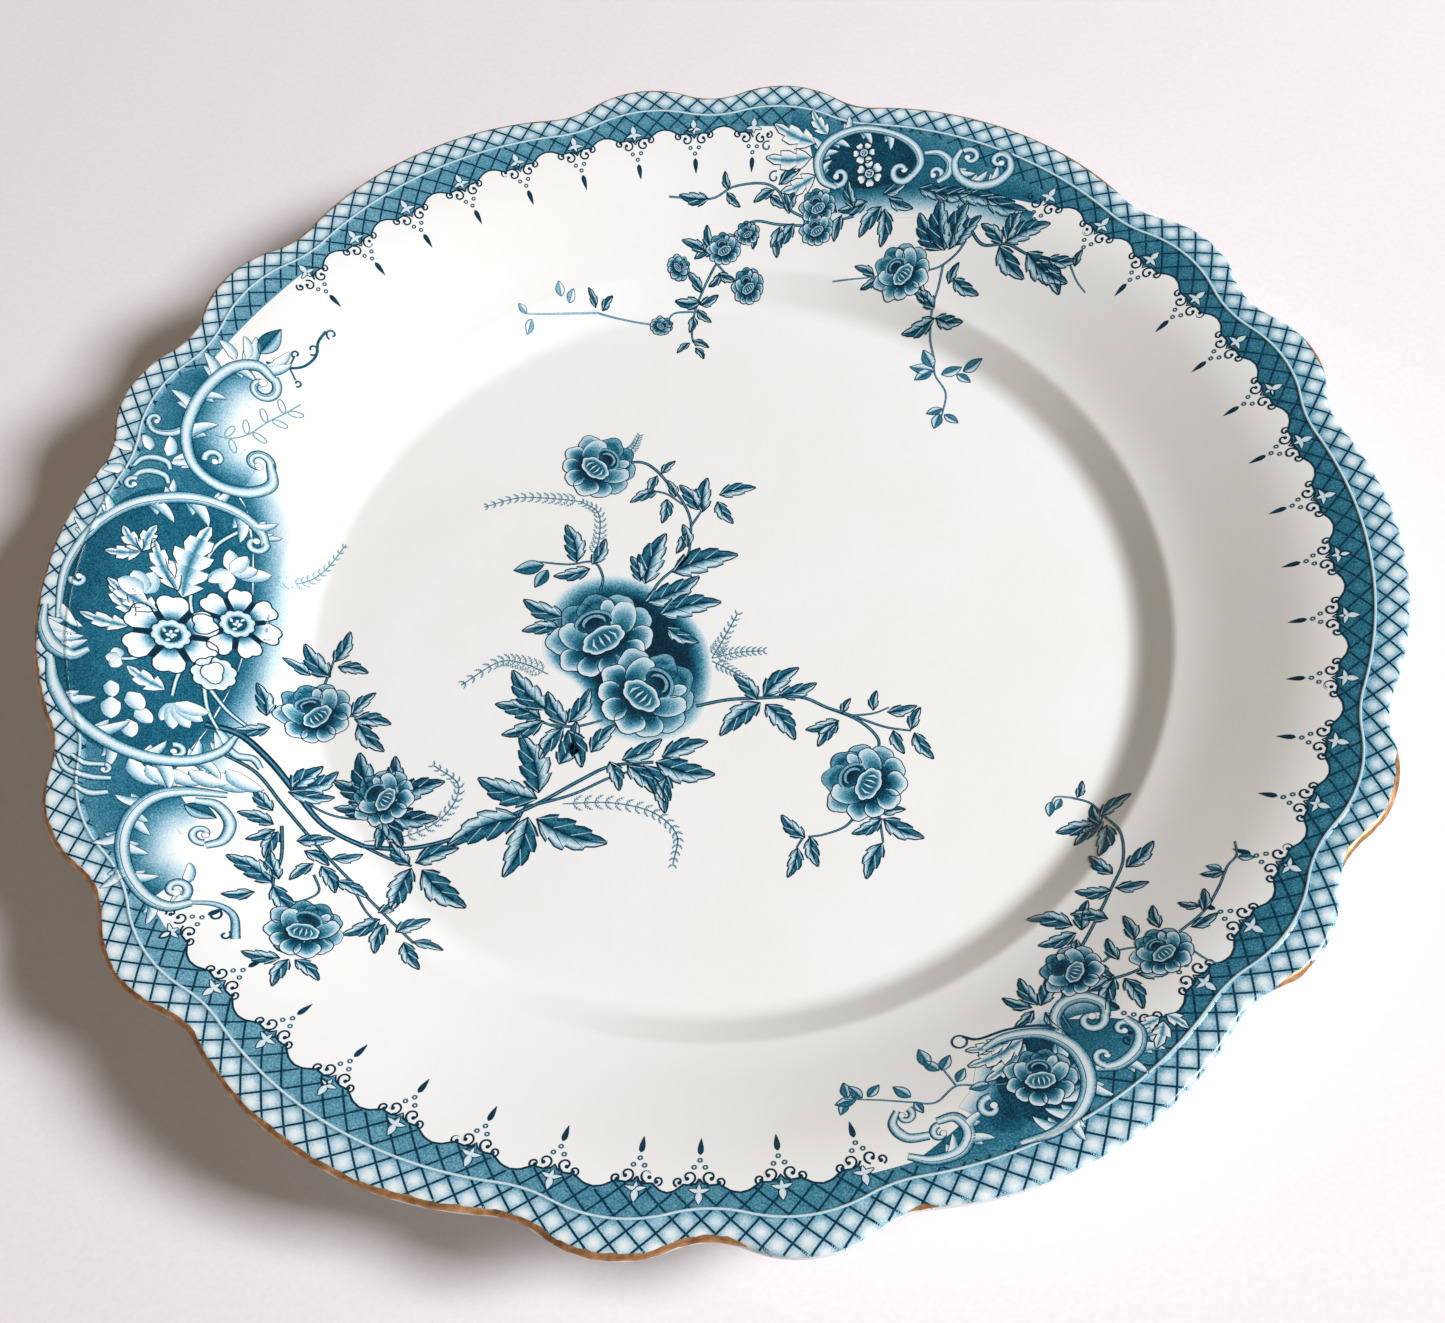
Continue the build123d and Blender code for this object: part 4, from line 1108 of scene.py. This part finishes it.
def left_spray():
    """The roses and stems that leave the large panel towards the well."""
    ink = Print()
    for width, points in (
        (1.6, ((-96, -25), (-90, -26), (-84, -31), (-78, -38), (-73, -43.4), (-66, -46.4))),
        (0.8, ((-92, -31), (-86, -34), (-80, -41), (-72, -50), (-62, -60), (-54, -68))),
        (0.7, ((-79, -37.4), (-74, -40), (-68, -40.6))),
        (0.7, ((-66, -46.4), (-60, -49.4), (-56.6, -50.6))),
        (0.7, ((-80, -45), (-79, -52), (-79.4, -58), (-77, -63))),
        (0.5, ((-73, -55), (-71.6, -58.6), (-74, -61), (-77, -62))),
        (0.6, ((-77, -11), (-76, -7), (-75.4, -3))),
        (0.6, ((-71.6, -18), (-67, -19.4))),
        (0.5, ((-66, -57), (-63, -62), (-60, -65))),
    ):
        stem(ink, points, width, tone=0.95)
    fern(ink, ((-89, 9.6), (-84, 11), (-79.6, 15.6), (-76, 22)), 1.8, tone=0.35)
    leaves(ink, (
        (-80, -36.4, 9.6, 38), (-79.4, -36.8, 8.4, 62), (-80, -37.4, 7.6, 10), (-76, -9.4, 9.4, 128),
        (-75.6, -6, 7.4, 70), (-74.8, -7, 6.4, 345), (-80, -9, 5.6, 155), (-70.4, -19, 7.4, 350),
        (-69.6, -20, 8.4, 312), (-71, -18, 6.4, 48), (-86, -21, 7.6, 110), (-85, -23.4, 6.4, 195),
        (-81.4, -45, 6.6, 165), (-81, -46, 5.4, 215), (-80.4, -46.4, 6.4, 258), (-82, -42, 6.4, 128),
        (-77, -48, 6.4, 20), (-75.4, -50, 5.4, 330), (-56.6, -51, 9.8, 255), (-56, -50, 8.4, 20),
        (-54.6, -51.4, 11.6, 318), (-57, -50.4, 6.4, 130), (-73.4, -52.6, 5.4, 230), (-72, -53, 6.4, 300),
        (-70.6, -51, 5.4, 30), (-69, -56, 6.4, 335), (-79.6, -58, 9.6, 150), (-78.6, -57, 6.6, 112),
        (-79.4, -58.4, 7.6, 312), (-82, -60.4, 5.4, 195), (-61, -62, 4.8, 60), (-60.4, -63.4, 7.2, 215),
        (-59.4, -64.4, 6.6, 262), (-57.4, -66, 6.8, 42), (-55.6, -68, 6.6, 300), (-54.4, -67.6, 5.4, 350),
        (-74.6, -73, 5.4, 130), (-75.4, -74, 6.4, 175), (-74, -74, 6.2, 255), (-73, -74, 6.0, 320),
        (-72.8, -72, 4.4, 60),
    ))
    rose(ink, -78.2, -17.6, 6.6, -60, 6, seed=11)
    side_leaf_cluster(ink)
    rose(ink, -63.4, -36.2, 5.6, -40, 7, seed=12)
    rose(ink, -72.6, -67, 6.0, -110, 6, seed=13)
    return ink.piece("printed_left_spray")


def side_leaf_cluster(ink):
    """The dark cluster of large leaves beside the left spray's middle."""
    leaves(ink, (
        (-64.6, -39, 10.6, 142), (-64, -38, 12.4, 112), (-62.6, -37, 9.6, 84), (-61.4, -37, 10.4, 22),
        (-62.6, -39.4, 10.2, 352), (-64, -40, 8.6, 308), (-65, -40, 7.4, 168), (-63, -40.4, 6.6, 265),
    ), level=6, dark=0.12)


def top_spray():
    """The sprays on both sides of the top panel's leaves."""
    ink = Print()
    for width, tone, points in (
        (0.6, 0.85, ((30, 96.4), (22, 95.6), (14, 96.4), (8, 97.4), (3, 94), (0, 89), (-3, 84.6),
                     (-5, 80.4), (-5.6, 74), (-4.6, 71))),
        (0.5, 0.75, ((-4.4, 80.4), (-9.4, 80.2), (-11, 78))),
        (0.5, 0.62, ((-12, 77), (-17, 78), (-21, 78.8), (-26, 79.6))),
        (0.4, 0.4, ((-26, 79.6), (-32, 78.8), (-37, 78), (-41, 77.4))),
        (0.6, 0.82, ((20, 97), (16, 99.4), (13.6, 103.4), (10, 105), (4, 104.6), (-1, 102.4),
                     (-10, 103))),
        (0.6, 0.85, ((52, 95), (54.4, 91), (52.6, 86.4), (48.6, 83.6), (45, 83))),
        (0.5, 0.75, ((48.6, 83.6), (47.4, 79), (46, 75), (45.4, 70), (46, 65.4), (46, 61), (48, 56),
                     (46.8, 50))),
        (0.7, 0.95, ((54.4, 90), (57, 86), (62, 85), (66, 82), (71, 79), (76, 77.6))),
        (0.35, 0.8, ((74.4, 78), (75.6, 74), (77.2, 71))),
        (0.4, 0.7, ((36, 83.4), (31, 83.4), (25, 83.6))),
        (0.45, 0.8, ((0, 89), (2, 87), (4, 85.4))),
    ):
        stem(ink, points, width, tone=tone)
    leaves(ink, (
        (14, 96, 6.4, 262), (17, 96.4, 6.4, 222), (16, 98.4, 4.4, 100), (15.8, 99, 4.8, 60),
        (27.4, 97, 5.4, 250), (26.4, 97.6, 4.4, 130), (36, 97.6, 7.4, 228), (36.6, 97, 7.6, 262),
        (36.4, 100, 5.6, 20), (33, 99, 6.4, 190), (37.6, 99, 5.8, 330), (30, 98, 6.0, 100),
        (2, 93.4, 7.4, 205), (-1, 92, 5.2, 100), (-2.4, 91.6, 5.6, 152), (8, 96.4, 4.6, 270),
        (-3.4, 84, 4.6, 130), (-3.6, 82.4, 5.6, 178), (-4, 82, 4.4, 20), (-5.4, 79.4, 4.6, 262),
        (-4.4, 81, 4.6, 310), (-5.6, 72.6, 4.2, 330), (-6, 72, 3.8, 225), (-4.8, 70.6, 3.6, 300),
        (0.4, 87.2, 3.8, 340), (1, 87, 3.4, 215), (-26.4, 80.4, 3.6, 112), (-25, 80, 3.6, 50),
        (13, 103.4, 5.0, 205), (14, 104.4, 5.4, 30), (12, 102.6, 4.4, 318), (3, 104, 3.8, 100),
        (2.6, 103.6, 4.2, 312), (-1.4, 102.4, 6.4, 172), (50.6, 80.4, 6.8, 318), (49.6, 79.4, 4.6, 60),
        (46.4, 74.6, 6.6, 132), (46.4, 73, 7.0, 190), (46.6, 73, 6.0, 338), (44.6, 76, 5.4, 100),
        (61, 85.4, 6.4, 130), (61.6, 85.4, 9.6, 12), (60.4, 85, 9.2, 300), (62, 85.6, 7.4, 62),
        (66, 82.4, 11.4, 312), (68, 80.6, 9.4, 295), (70, 80, 6.4, 342), (75.4, 77, 3.6, 62),
        (34, 83.6, 4.8, 148), (34.6, 83, 4.0, 205),
    ), dark=0.05)
    buds(ink, ((46, 62, 5.4, 165), (45.4, 62.4, 4.6, 215), (45.6, 63, 5.0, 110), (47.4, 61, 4.6, 20),
               (52, 61.6, 4.2, 20), (50.6, 61, 3.6, 320), (47, 52, 3.6, 200), (46.4, 50.6, 4.0, 250),
               (47.4, 50.4, 3.6, 320)), pale=0.12)
    buds(ink, ((-33.6, 81.6, 3.4, 100), (-32, 80.6, 3.0, 70), (-41, 77.4, 2.6, 130),
               (-40, 76.6, 3.0, 250)), pale=0.4)
    rose(ink, 39.6, 83.6, 5.6, -60, 6, seed=21)
    for x, y, length, angle in (
        (48.4, 86.6, 9.4, 118), (49, 86.4, 10.6, 92), (50, 86.4, 9.8, 64), (51.4, 87, 7.4, 42),
    ):
        leaf(ink, x, y, length, angle, wide=0.5, teeth=4, level=6, dark=0.1)
    small_roses = (
        (22.2, 99.4, 3.5, -80), (21.8, 94.8, 3.3, -80), (6.6, 84.8, 3.1, -80), (1.6, 92.2, 3.4, -80),
        (-8.2, 88.6, 2.4, 200), (6.8, 95.2, 2.4, -80), (-12.2, 77, 2.4, 200),
    )
    for seed, (x, y, r, facing) in enumerate(small_roses, start=22):
        rose(ink, x, y, r, facing, 6, seed)
    return ink.piece("printed_top_spray")


def lower_spray():
    """The sprays that grow out of the lower panel."""
    ink = Print()
    for width, tone, points in (
        (0.8, 0.9, ((60, -90), (59, -86), (60, -82))),
        (0.6, 0.9, ((64, -73), (66, -69.6), (68, -66), (70.6, -61), (73, -56), (73.4, -50), (71.4, -45),
                    (69.4, -41), (66, -39.6))),
        (0.4, 0.7, ((66, -39.6), (63, -39.4), (62, -41.4))),
        (0.7, 0.9, ((65, -81), (70, -80.4), (74, -79))),
        (0.5, 0.85, ((67, -77), (70, -75), (74, -75))),
        (0.5, 0.85, ((80, -73), (84.6, -69.4), (87.6, -65), (89.6, -61), (91.4, -59), (91.6, -56))),
        (0.4, 0.8, ((80.6, -76), (84, -79.6), (88, -81))),
        (0.4, 0.75, ((50, -99.6), (45, -99.8), (40.6, -99.4), (37, -102.4), (33, -102), (28, -101.2),
                     (22, -100.6))),
        (0.35, 0.7, ((40.6, -99.4), (39, -96.4), (38, -94.4))),
    ):
        stem(ink, points, width, tone=tone)
    leaves(ink, (
        (69, -68, 6.4, 160), (63.4, -70, 6.8, 195), (63, -68.4, 8.0, 158), (64.4, -69.6, 6.4, 75),
        (63.4, -71.4, 3.6, 262), (70.4, -62, 6.2, 172), (71, -61.4, 5.6, 0), (71, -58.4, 6.0, 125),
        (73.4, -57.4, 7.0, 42), (70.6, -44.4, 6.4, 30), (70, -46.4, 7.4, 182), (71.4, -47, 7.4, 252),
        (71, -46, 6.6, 215), (70.4, -46.4, 5.0, 100), (67, -39.6, 3.6, 70), (55.4, -84.4, 6.6, 112),
        (55.8, -84.6, 6.4, 72), (54.6, -85.4, 4.6, 222), (56.4, -86, 4.6, 300), (54.4, -84.8, 5.4, 150),
        (68.4, -80.6, 6.8, 250), (70, -81, 6.8, 288), (72, -80.4, 7.0, 10), (68.4, -80, 5.4, 210),
        (66, -77, 4.6, 300), (69.6, -77, 5.0, 105), (72.6, -73.4, 5.6, 100), (77, -71.6, 5.0, 95),
        (84.4, -69.4, 4.6, 80), (84, -68.4, 3.6, 155), (82, -72.4, 5.0, 25), (89, -62, 3.8, 175),
    ), dark=0.04)
    buds(ink, ((62, -40.4, 3.0, 262), (64, -39.8, 2.6, 240), (91.6, -59.4, 2.6, 345),
               (88.6, -61.4, 2.6, 150), (38.4, -96, 3.4, 62), (38, -96, 3.4, 140), (36.4, -95, 4.0, 112),
               (40.8, -98.6, 3.0, 62), (46, -99.6, 3.4, 190), (33, -101, 3.6, 140),
               (33.6, -102, 2.6, 300), (26, -100.4, 3.0, 50), (25, -100.6, 3.4, 130),
               (22.6, -100.4, 3.2, 100), (22.4, -101, 3.0, 250), (24, -100.8, 3.6, 195)), pale=0.1)
    rose(ink, 61.6, -78, 5.0, -40, 6, seed=31)
    rose(ink, 76.6, -76.4, 4.7, -70, 6, seed=32)
    return ink.piece("printed_lower_spray")


# ============================ Plate =========================================================
LIP_STEPS = 7


def row(angle, r, z):
    """A row of points round the plate, at these radii and heights."""
    return np.concatenate([polar(r, angle), np.broadcast_to(z, angle.shape)[:, None]], 1)


def lip_steps(top):
    """The lip's upper or lower rounding, as distances in from the edge and up or down."""
    way = -1 if top else 1
    turn = np.linspace(0, pi / 2, LIP_STEPS)
    return [(LIP_ROUND * (1 - sin(a)), LIP_ROUND * (1 - cos(a)) * way) for a in turn]


def blended(share, target):
    """Radii part of the way from the last circular row out to these."""
    return CIRCLE_R + (target - CIRCLE_R) * share


def face_rows(angle):
    """Rows of the face from its middle to the lip, close together where it curves."""
    near_line = line_r(angle) - LINE_REACH
    past_line = line_r(angle) + LINE_REACH
    lip = edge_r(angle) - LIP_ROUND
    radii = [0.05, 0.3, 8, 20, 32, 44, 56, 66, 73, 77, FLOOR_R, *np.arange(79.6, 89.2, 0.6)]
    radii += [*np.arange(90.4, CIRCLE_R + 0.1, 2.2)]
    radii += [blended(share, near_line) for share in np.linspace(0.12, 1, 9)]
    radii += [line_r(angle) + off for off in np.linspace(-LINE_REACH, LINE_REACH, 11)[1:]]
    radii += [past_line + (lip - past_line) * share for share in np.linspace(0.2, 1, 5)]
    return [row(angle, r, height(polar(r, angle))) for r in radii]


def lip_rows(angle):
    """Rows over the lip, from the face to the underside."""
    rows = []
    for section, top in ((face, True), (back, False)):
        part = []
        for off, drop in lip_steps(top):
            level = section.height(edge_r(angle) - LIP_ROUND)
            slope = section.height(edge_r(angle)) - level
            level = level + slope * (1 - off / LIP_ROUND)
            part.append(row(angle, edge_r(angle) - off, level + drop))
        rows += part[1:] if top else part[1:][::-1]
    return rows


def underside_rows(angle):
    """Rows of the underside from the lip in to the bare foot."""
    lip = edge_r(angle) - LIP_ROUND
    radii = [lip]
    radii += [blended(share, lip) for share in np.linspace(0.85, 0, 8)]
    radii += [104, 99, 94, 89, 85, 83, 82]
    lean = np.arctan2(FOOT_TOP_OUT[1], FOOT_TOP_OUT[0] - FOOT_OUT_R)
    turn = np.linspace(0, lean, 7)[::-1]
    centre_r = FOOT_OUT_R - FOOT_ROUND * np.tan(lean / 2)
    foot = [(81.5, 3.78), (81.05, 3.38), (80.8, 2.9), (80.3, 1.9), (79.9, 1.1)]
    foot += [(centre_r + FOOT_ROUND * sin(a), FOOT_ROUND * (1 - cos(a))) for a in turn]
    return [row(angle, r, back.height(r)) for r in radii] + [row(angle, r, z) for r, z in foot]


def inner_rows(angle):
    """Rows of the coat's hidden side, from the foot back up over the lip to the middle."""
    foot = ((78.6, GLAZE), (79.2, 1.2), (80.6, 3.8))
    rows = [row(angle, r, z) for r, z in foot]
    rows += [row(angle, r, back.height(r) + GLAZE) for r in (86, 96, 108)]
    lip = edge_r(angle) - 2 * GLAZE
    rows.append(row(angle, lip - 1, back.height(lip) + 1.2 * GLAZE))
    rows.append(row(angle, lip, (back.height(lip) + face.height(lip)) / 2))
    rows.append(row(angle, lip - 1, face.height(lip) - 1.6 * GLAZE))
    radii = (120, 114, 108, 98, 92, 88.5, 87.5, 83.5, 81.4, 79, 60, 30, 0.3, 0.05)
    return rows + [row(angle, r, face.height(r) - GLAZE) for r in radii]


def glazed_plate():
    """The coat of glaze over the face, the lip and the outside of the foot, as a closed shell."""
    angle = np.arange(SEGMENTS) * 360 / SEGMENTS
    rows = face_rows(angle) + lip_rows(angle) + underside_rows(angle) + inner_rows(angle)
    quads = ring_quads(len(rows), SEGMENTS)[:, ::-1]
    return make_mesh("glazed_face_and_rim", np.concatenate(rows), quads)


def glazed_base():
    """The glaze inside the foot ring, as a closed shell."""
    angle = np.arange(180) * 2.0
    section = [(77.05, 0.0), (76.75, 0.03), (76.5, 0.15), (76.34, 0.36), (76.1, 0.9), (75.8, 1.7)]
    section += [(75.6, 2.1), (75.2, 2.34)]
    section += [(r, BACK_FLOOR_Z) for r in (74.4, 60, 40, 20, 0.3, 0.05)]
    section += [(r, BACK_FLOOR_Z + GLAZE) for r in (0.05, 0.3, 40, 75.0)]
    section += [(75.9, BACK_FLOOR_Z), (76.8, GLAZE), (77.05, 0.3), (77.05, 0.0)]
    rows = [row(angle, r, z) for r, z in section]
    return make_mesh("glazed_base", np.concatenate(rows), ring_quads(len(rows), len(angle)))


# Where gilding is left, in degrees round the edge, how far it reaches in over the face and out
# over the lip, and the degrees in which each stretch thins out.
GILT_STRETCHES = ((47, 273), (284.5, 287), (317.5, 321.5), (329.5, 341.5), (19.5, 24.5))
GILT_IN = 0.8
GILT_OUT = 0.55
GILT_FADE = 1.5
GILT_LIFT = 0.09
# Length of the lip's rounding between the face and the line that the gilding follows.
LIP_START = 1.3


def wobble(angle, seed):
    """A ragged value about 0, the same on each run."""
    draw = np.random.default_rng(seed)
    value = np.zeros_like(angle)
    for waves in (31, 67, 113, 211, 397):
        value += draw.uniform(0.5, 1.0) * np.sin(np.radians(angle * waves) + draw.uniform(0, 2 * pi))
    return value / 2.2


def gilt_edge():
    """The worn gilding over the lip, with ragged sides and ends that thin out."""
    points = []
    quads = []
    count = 0
    for first, last in GILT_STRETCHES:
        angle = np.arange(first, last, 0.33)
        fade = np.clip(np.minimum(angle - first, last - angle) / GILT_FADE, 0.08, 1)
        inner = GILT_IN * fade * (1 + 0.28 * wobble(angle, 5))
        outer = GILT_OUT * fade * (1 + 0.4 * wobble(angle, 9))
        rows = [lip_row(angle, -inner + (inner + outer) * share) for share in np.linspace(0, 1, 9)]
        points += rows
        quads.append(sheet_quads(len(rows), len(angle)) + count)
        count += len(rows) * len(angle)
    return make_mesh("gilt_line", np.concatenate(points), np.concatenate(quads))


def lip_row(angle, along):
    """A row on the lip: along is the distance over it, under 0 on the face and over 0 outside."""
    turn = np.clip((along + LIP_START) / LIP_ROUND, 0, pi / 2)
    off = LIP_ROUND * (1 - np.sin(turn))
    drop = LIP_ROUND * (1 - np.cos(turn))
    flat = np.maximum(-along - LIP_START, 0)
    reach = edge_r(angle) - off - flat + GILT_LIFT * np.sin(turn)
    base = face.height(edge_r(angle) - LIP_ROUND)
    level = base + (face.height(edge_r(angle)) - base) * np.clip(1 - off / LIP_ROUND, 0, 1) - drop
    return row(angle, reach, level + GILT_LIFT * np.cos(turn))


# ============================ Materials =====================================================
def linear(colour):
    """An sRGB colour as Blender's linear values."""
    return tuple((c / 12.92 if c <= 0.04045 else ((c + 0.055) / 1.055) ** 2.4) for c in colour) + (1.0,)


def grey(value):
    """A plain value as a colour for a ramp."""
    return (value, value, value, 1)


GLAZE_WHITE = (0.925, 0.932, 0.922)
GLAZE_WARM = (0.918, 0.918, 0.895)
INK_RAMP = (
    (0.0, GLAZE_WHITE), (0.10, (0.80, 0.87, 0.89)), (0.28, (0.56, 0.72, 0.78)),
    (0.45, (0.36, 0.58, 0.66)), (0.62, (0.17, 0.44, 0.53)), (0.78, (0.045, 0.33, 0.42)),
    (0.90, (0.01, 0.21, 0.30)), (1.0, (0.005, 0.13, 0.19)),
)


class Nodes:
    """A new material and short calls that add nodes to it."""

    def __init__(self, name):
        self.material = bpy.data.materials.new(name)
        self.material.use_nodes = True
        self.tree = self.material.node_tree
        self.shader = self.tree.nodes["Principled BSDF"]

    def add(self, kind, **settings):
        node = self.tree.nodes.new(kind)
        for name, value in settings.items():
            setattr(node, name, value)
        return node

    def join(self, source, target):
        self.tree.links.new(source, target)

    def noise(self, scale, detail=2.0, roughness=0.5):
        place = self.add("ShaderNodeTexCoord")
        node = self.add("ShaderNodeTexNoise")
        node.inputs["Scale"].default_value = scale
        node.inputs["Detail"].default_value = detail
        node.inputs["Roughness"].default_value = roughness
        self.join(place.outputs["Object"], node.inputs["Vector"])
        return node.outputs["Fac"]

    def ramp(self, source, stops):
        node = self.add("ShaderNodeValToRGB")
        marks = node.color_ramp.elements
        for mark, (place, colour) in zip(marks, (stops[0], stops[-1])):
            mark.position = place
            mark.color = colour
        for place, colour in stops[1:-1]:
            marks.new(place).color = colour
        self.join(source, node.inputs["Fac"])
        return node.outputs["Color"]

    def math(self, operation, first, second):
        node = self.add("ShaderNodeMath", operation=operation)
        for socket, value in zip(node.inputs, (first, second)):
            if isinstance(value, (int, float)):
                socket.default_value = value
            else:
                self.join(value, socket)
        return node.outputs[0]


def gloss(nodes):
    """The glaze's finish, which the bare glaze and the print under it share."""
    nodes.shader.inputs["Specular IOR Level"].default_value = 0.3
    nodes.shader.inputs["Coat Weight"].default_value = 0.08
    nodes.shader.inputs["Coat Roughness"].default_value = 0.06
    rough = nodes.ramp(nodes.noise(55, 3), ((0.3, grey(0.16)), (0.7, grey(0.24))))
    nodes.join(rough, nodes.shader.inputs["Roughness"])
    bump = nodes.add("ShaderNodeBump")
    bump.inputs["Strength"].default_value = 0.05
    bump.inputs["Distance"].default_value = 0.0004
    nodes.join(nodes.noise(140, 2), bump.inputs["Height"])
    nodes.join(bump.outputs["Normal"], nodes.shader.inputs["Normal"])


def glaze_material():
    """White glaze with a faint warm mottle."""
    nodes = Nodes("white_glaze")
    stops = ((0.35, linear(GLAZE_WHITE)), (0.75, linear(GLAZE_WARM)))
    mottle = nodes.ramp(nodes.noise(26, 4, 0.6), stops)
    nodes.join(mottle, nodes.shader.inputs["Base Color"])
    gloss(nodes)
    return nodes.material


def ink_material():
    """Blue print under the glaze, with the stipple of an engraved transfer."""
    nodes = Nodes("blue_print")
    tone = nodes.add("ShaderNodeAttribute", attribute_name="tone").outputs["Fac"]
    grain = nodes.math("SUBTRACT", nodes.noise(3300, 1.0, 0.4), 0.5)
    cloud = nodes.math("SUBTRACT", nodes.noise(420, 2.0), 0.5)
    mix = nodes.math("ADD", nodes.math("MULTIPLY", grain, 1.5), nodes.math("MULTIPLY", cloud, 0.35))
    # The stipple is strongest in the middle tones and dies out in bare glaze.
    strength = nodes.math("MULTIPLY", tone, nodes.math("SUBTRACT", 1.25, tone))
    stippled = nodes.math("ADD", tone, nodes.math("MULTIPLY", mix, strength))
    stops = [(place, linear(colour)) for place, colour in INK_RAMP]
    nodes.join(nodes.ramp(stippled, stops), nodes.shader.inputs["Base Color"])
    gloss(nodes)
    return nodes.material


def gilt_material():
    """Old gilding, rubbed brown in places."""
    nodes = Nodes("worn_gilt")
    colours = ((0.35, (0.50, 0.34, 0.20)), (0.55, (0.72, 0.52, 0.33)), (0.75, (0.86, 0.70, 0.50)))
    stops = [(place, linear(colour)) for place, colour in colours]
    nodes.join(nodes.ramp(nodes.noise(330, 3, 0.65), stops), nodes.shader.inputs["Base Color"])
    nodes.shader.inputs["Metallic"].default_value = 0.4
    rough = nodes.ramp(nodes.noise(500, 2), ((0.3, grey(0.28)), (0.7, grey(0.5))))
    nodes.join(rough, nodes.shader.inputs["Roughness"])
    return nodes.material


def clay_material():
    """The bare fired body where the foot stands, with rubbed darker grains."""
    nodes = Nodes("bare_earthenware")
    stops = ((0.3, linear((0.72, 0.66, 0.56))), (0.7, linear((0.86, 0.82, 0.74))))
    nodes.join(nodes.ramp(nodes.noise(700, 4, 0.6), stops), nodes.shader.inputs["Base Color"])
    nodes.shader.inputs["Roughness"].default_value = 0.85
    return nodes.material


def table_material():
    """A pale table top with a faint grain."""
    nodes = Nodes("pale_table")
    stops = ((0.3, linear((0.905, 0.89, 0.895))), (0.7, linear((0.925, 0.91, 0.915))))
    nodes.join(nodes.ramp(nodes.noise(900, 3, 0.6), stops), nodes.shader.inputs["Base Color"])
    nodes.shader.inputs["Roughness"].default_value = 0.75
    return nodes.material


# ============================ Camera and light ==============================================
# The camera: its turns in degrees, its distance and its sideways places in millimetres, and the
# length of its lens as a share of the sensor's width.
CAMERA_TILT = 30.98
CAMERA_ROLL = 5.97
CAMERA_TURN = -5.18
CAMERA_AWAY = 404.6
CAMERA_ASIDE = (-0.71, 3.64)
LENS_IN_WIDTHS = 1.401384
SENSOR = 36.0
# The room, in metres and watts. The table lies just under the foot.
TABLE_REACH = 3.0
TABLE_GAP = 0.0001
WINDOW_PLACE = (1.79, -0.34, 1.52)
WINDOW_SIZE = (0.66, 0.66)
WINDOW_POWER = 80.5
WINDOW_COLOUR = (0.925, 0.94, 1.0)
ROOM_COLOUR = (1.0, 0.82, 0.62, 1)
ROOM_STRENGTH = 0.215


def add_camera():
    """The camera, aimed near the plate's middle."""
    data = bpy.data.cameras.new("camera")
    data.sensor_width = SENSOR
    data.lens = SENSOR * LENS_IN_WIDTHS
    camera = bpy.data.objects.new("camera", data)
    bpy.context.collection.objects.link(camera)
    seen = (
        Matrix.Rotation(radians(CAMERA_ROLL), 3, "Z")
        @ Matrix.Rotation(radians(-CAMERA_TILT), 3, "X")
        @ Matrix.Rotation(radians(CAMERA_TURN), 3, "Z")
    )
    place = seen.transposed() @ -Vector((*CAMERA_ASIDE, -CAMERA_AWAY))
    camera.matrix_world = Matrix.Translation(place * MM) @ seen.transposed().to_4x4()
    bpy.context.scene.camera = camera


def add_window():
    """A broad soft window at the upper right, turned to the plate."""
    data = bpy.data.lights.new("window", "AREA")
    data.shape = "RECTANGLE"
    data.size, data.size_y = WINDOW_SIZE
    data.energy = WINDOW_POWER
    data.color = WINDOW_COLOUR
    lamp = bpy.data.objects.new("window", data)
    bpy.context.collection.objects.link(lamp)
    lamp.location = WINDOW_PLACE
    lamp.rotation_euler = (-Vector(WINDOW_PLACE)).to_track_quat("-Z", "Y").to_euler()


def add_room():
    """The table, and a pale room all round."""
    mesh = bpy.data.meshes.new("table")
    top = BASE_Z - TABLE_GAP
    ways = ((-1, -1), (1, -1), (1, 1), (-1, 1))
    corners = [(TABLE_REACH * x, TABLE_REACH * y, top) for x, y in ways]
    mesh.from_pydata(corners, [], [(0, 1, 2, 3)])
    table = bpy.data.objects.new("table", mesh)
    bpy.context.collection.objects.link(table)
    mesh.materials.append(table_material())
    world = bpy.data.worlds.new("room")
    world.use_nodes = True
    background = world.node_tree.nodes["Background"]
    background.inputs["Color"].default_value = ROOM_COLOUR
    background.inputs["Strength"].default_value = ROOM_STRENGTH
    bpy.context.scene.world = world
    bpy.context.scene.view_settings.view_transform = "Standard"


# ============================ Assembly ======================================================
white_glaze = glaze_material()
blue_print = ink_material()

for make, node, slot, material in (
    (glazed_plate, "glaze_face_and_rim", "glaze", white_glaze),
    (glazed_base, "glaze_inside_foot", "glaze", white_glaze),
    (gilt_edge, "gilt_edge_line", "gilt", gilt_material()),
    (border_print, "border_print", "ink", blue_print),
    (left_panel, "left_panel_print", "ink", blue_print),
    (top_panel, "top_panel_print", "ink", blue_print),
    (lower_panel, "lower_panel_print", "ink", blue_print),
    (centre_spray, "centre_spray_print", "ink", blue_print),
    (left_spray, "left_spray_print", "ink", blue_print),
    (top_spray, "top_spray_print", "ink", blue_print),
    (lower_spray, "lower_spray_print", "ink", blue_print),
):
    piece = make()
    piece.data.materials.append(material)
    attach(piece, "root")
    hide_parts(node)

body = bpy.data.objects["earthenware_body"]
body.data.materials.clear()
body.data.materials.append(clay_material())

add_camera()
add_room()
add_window()
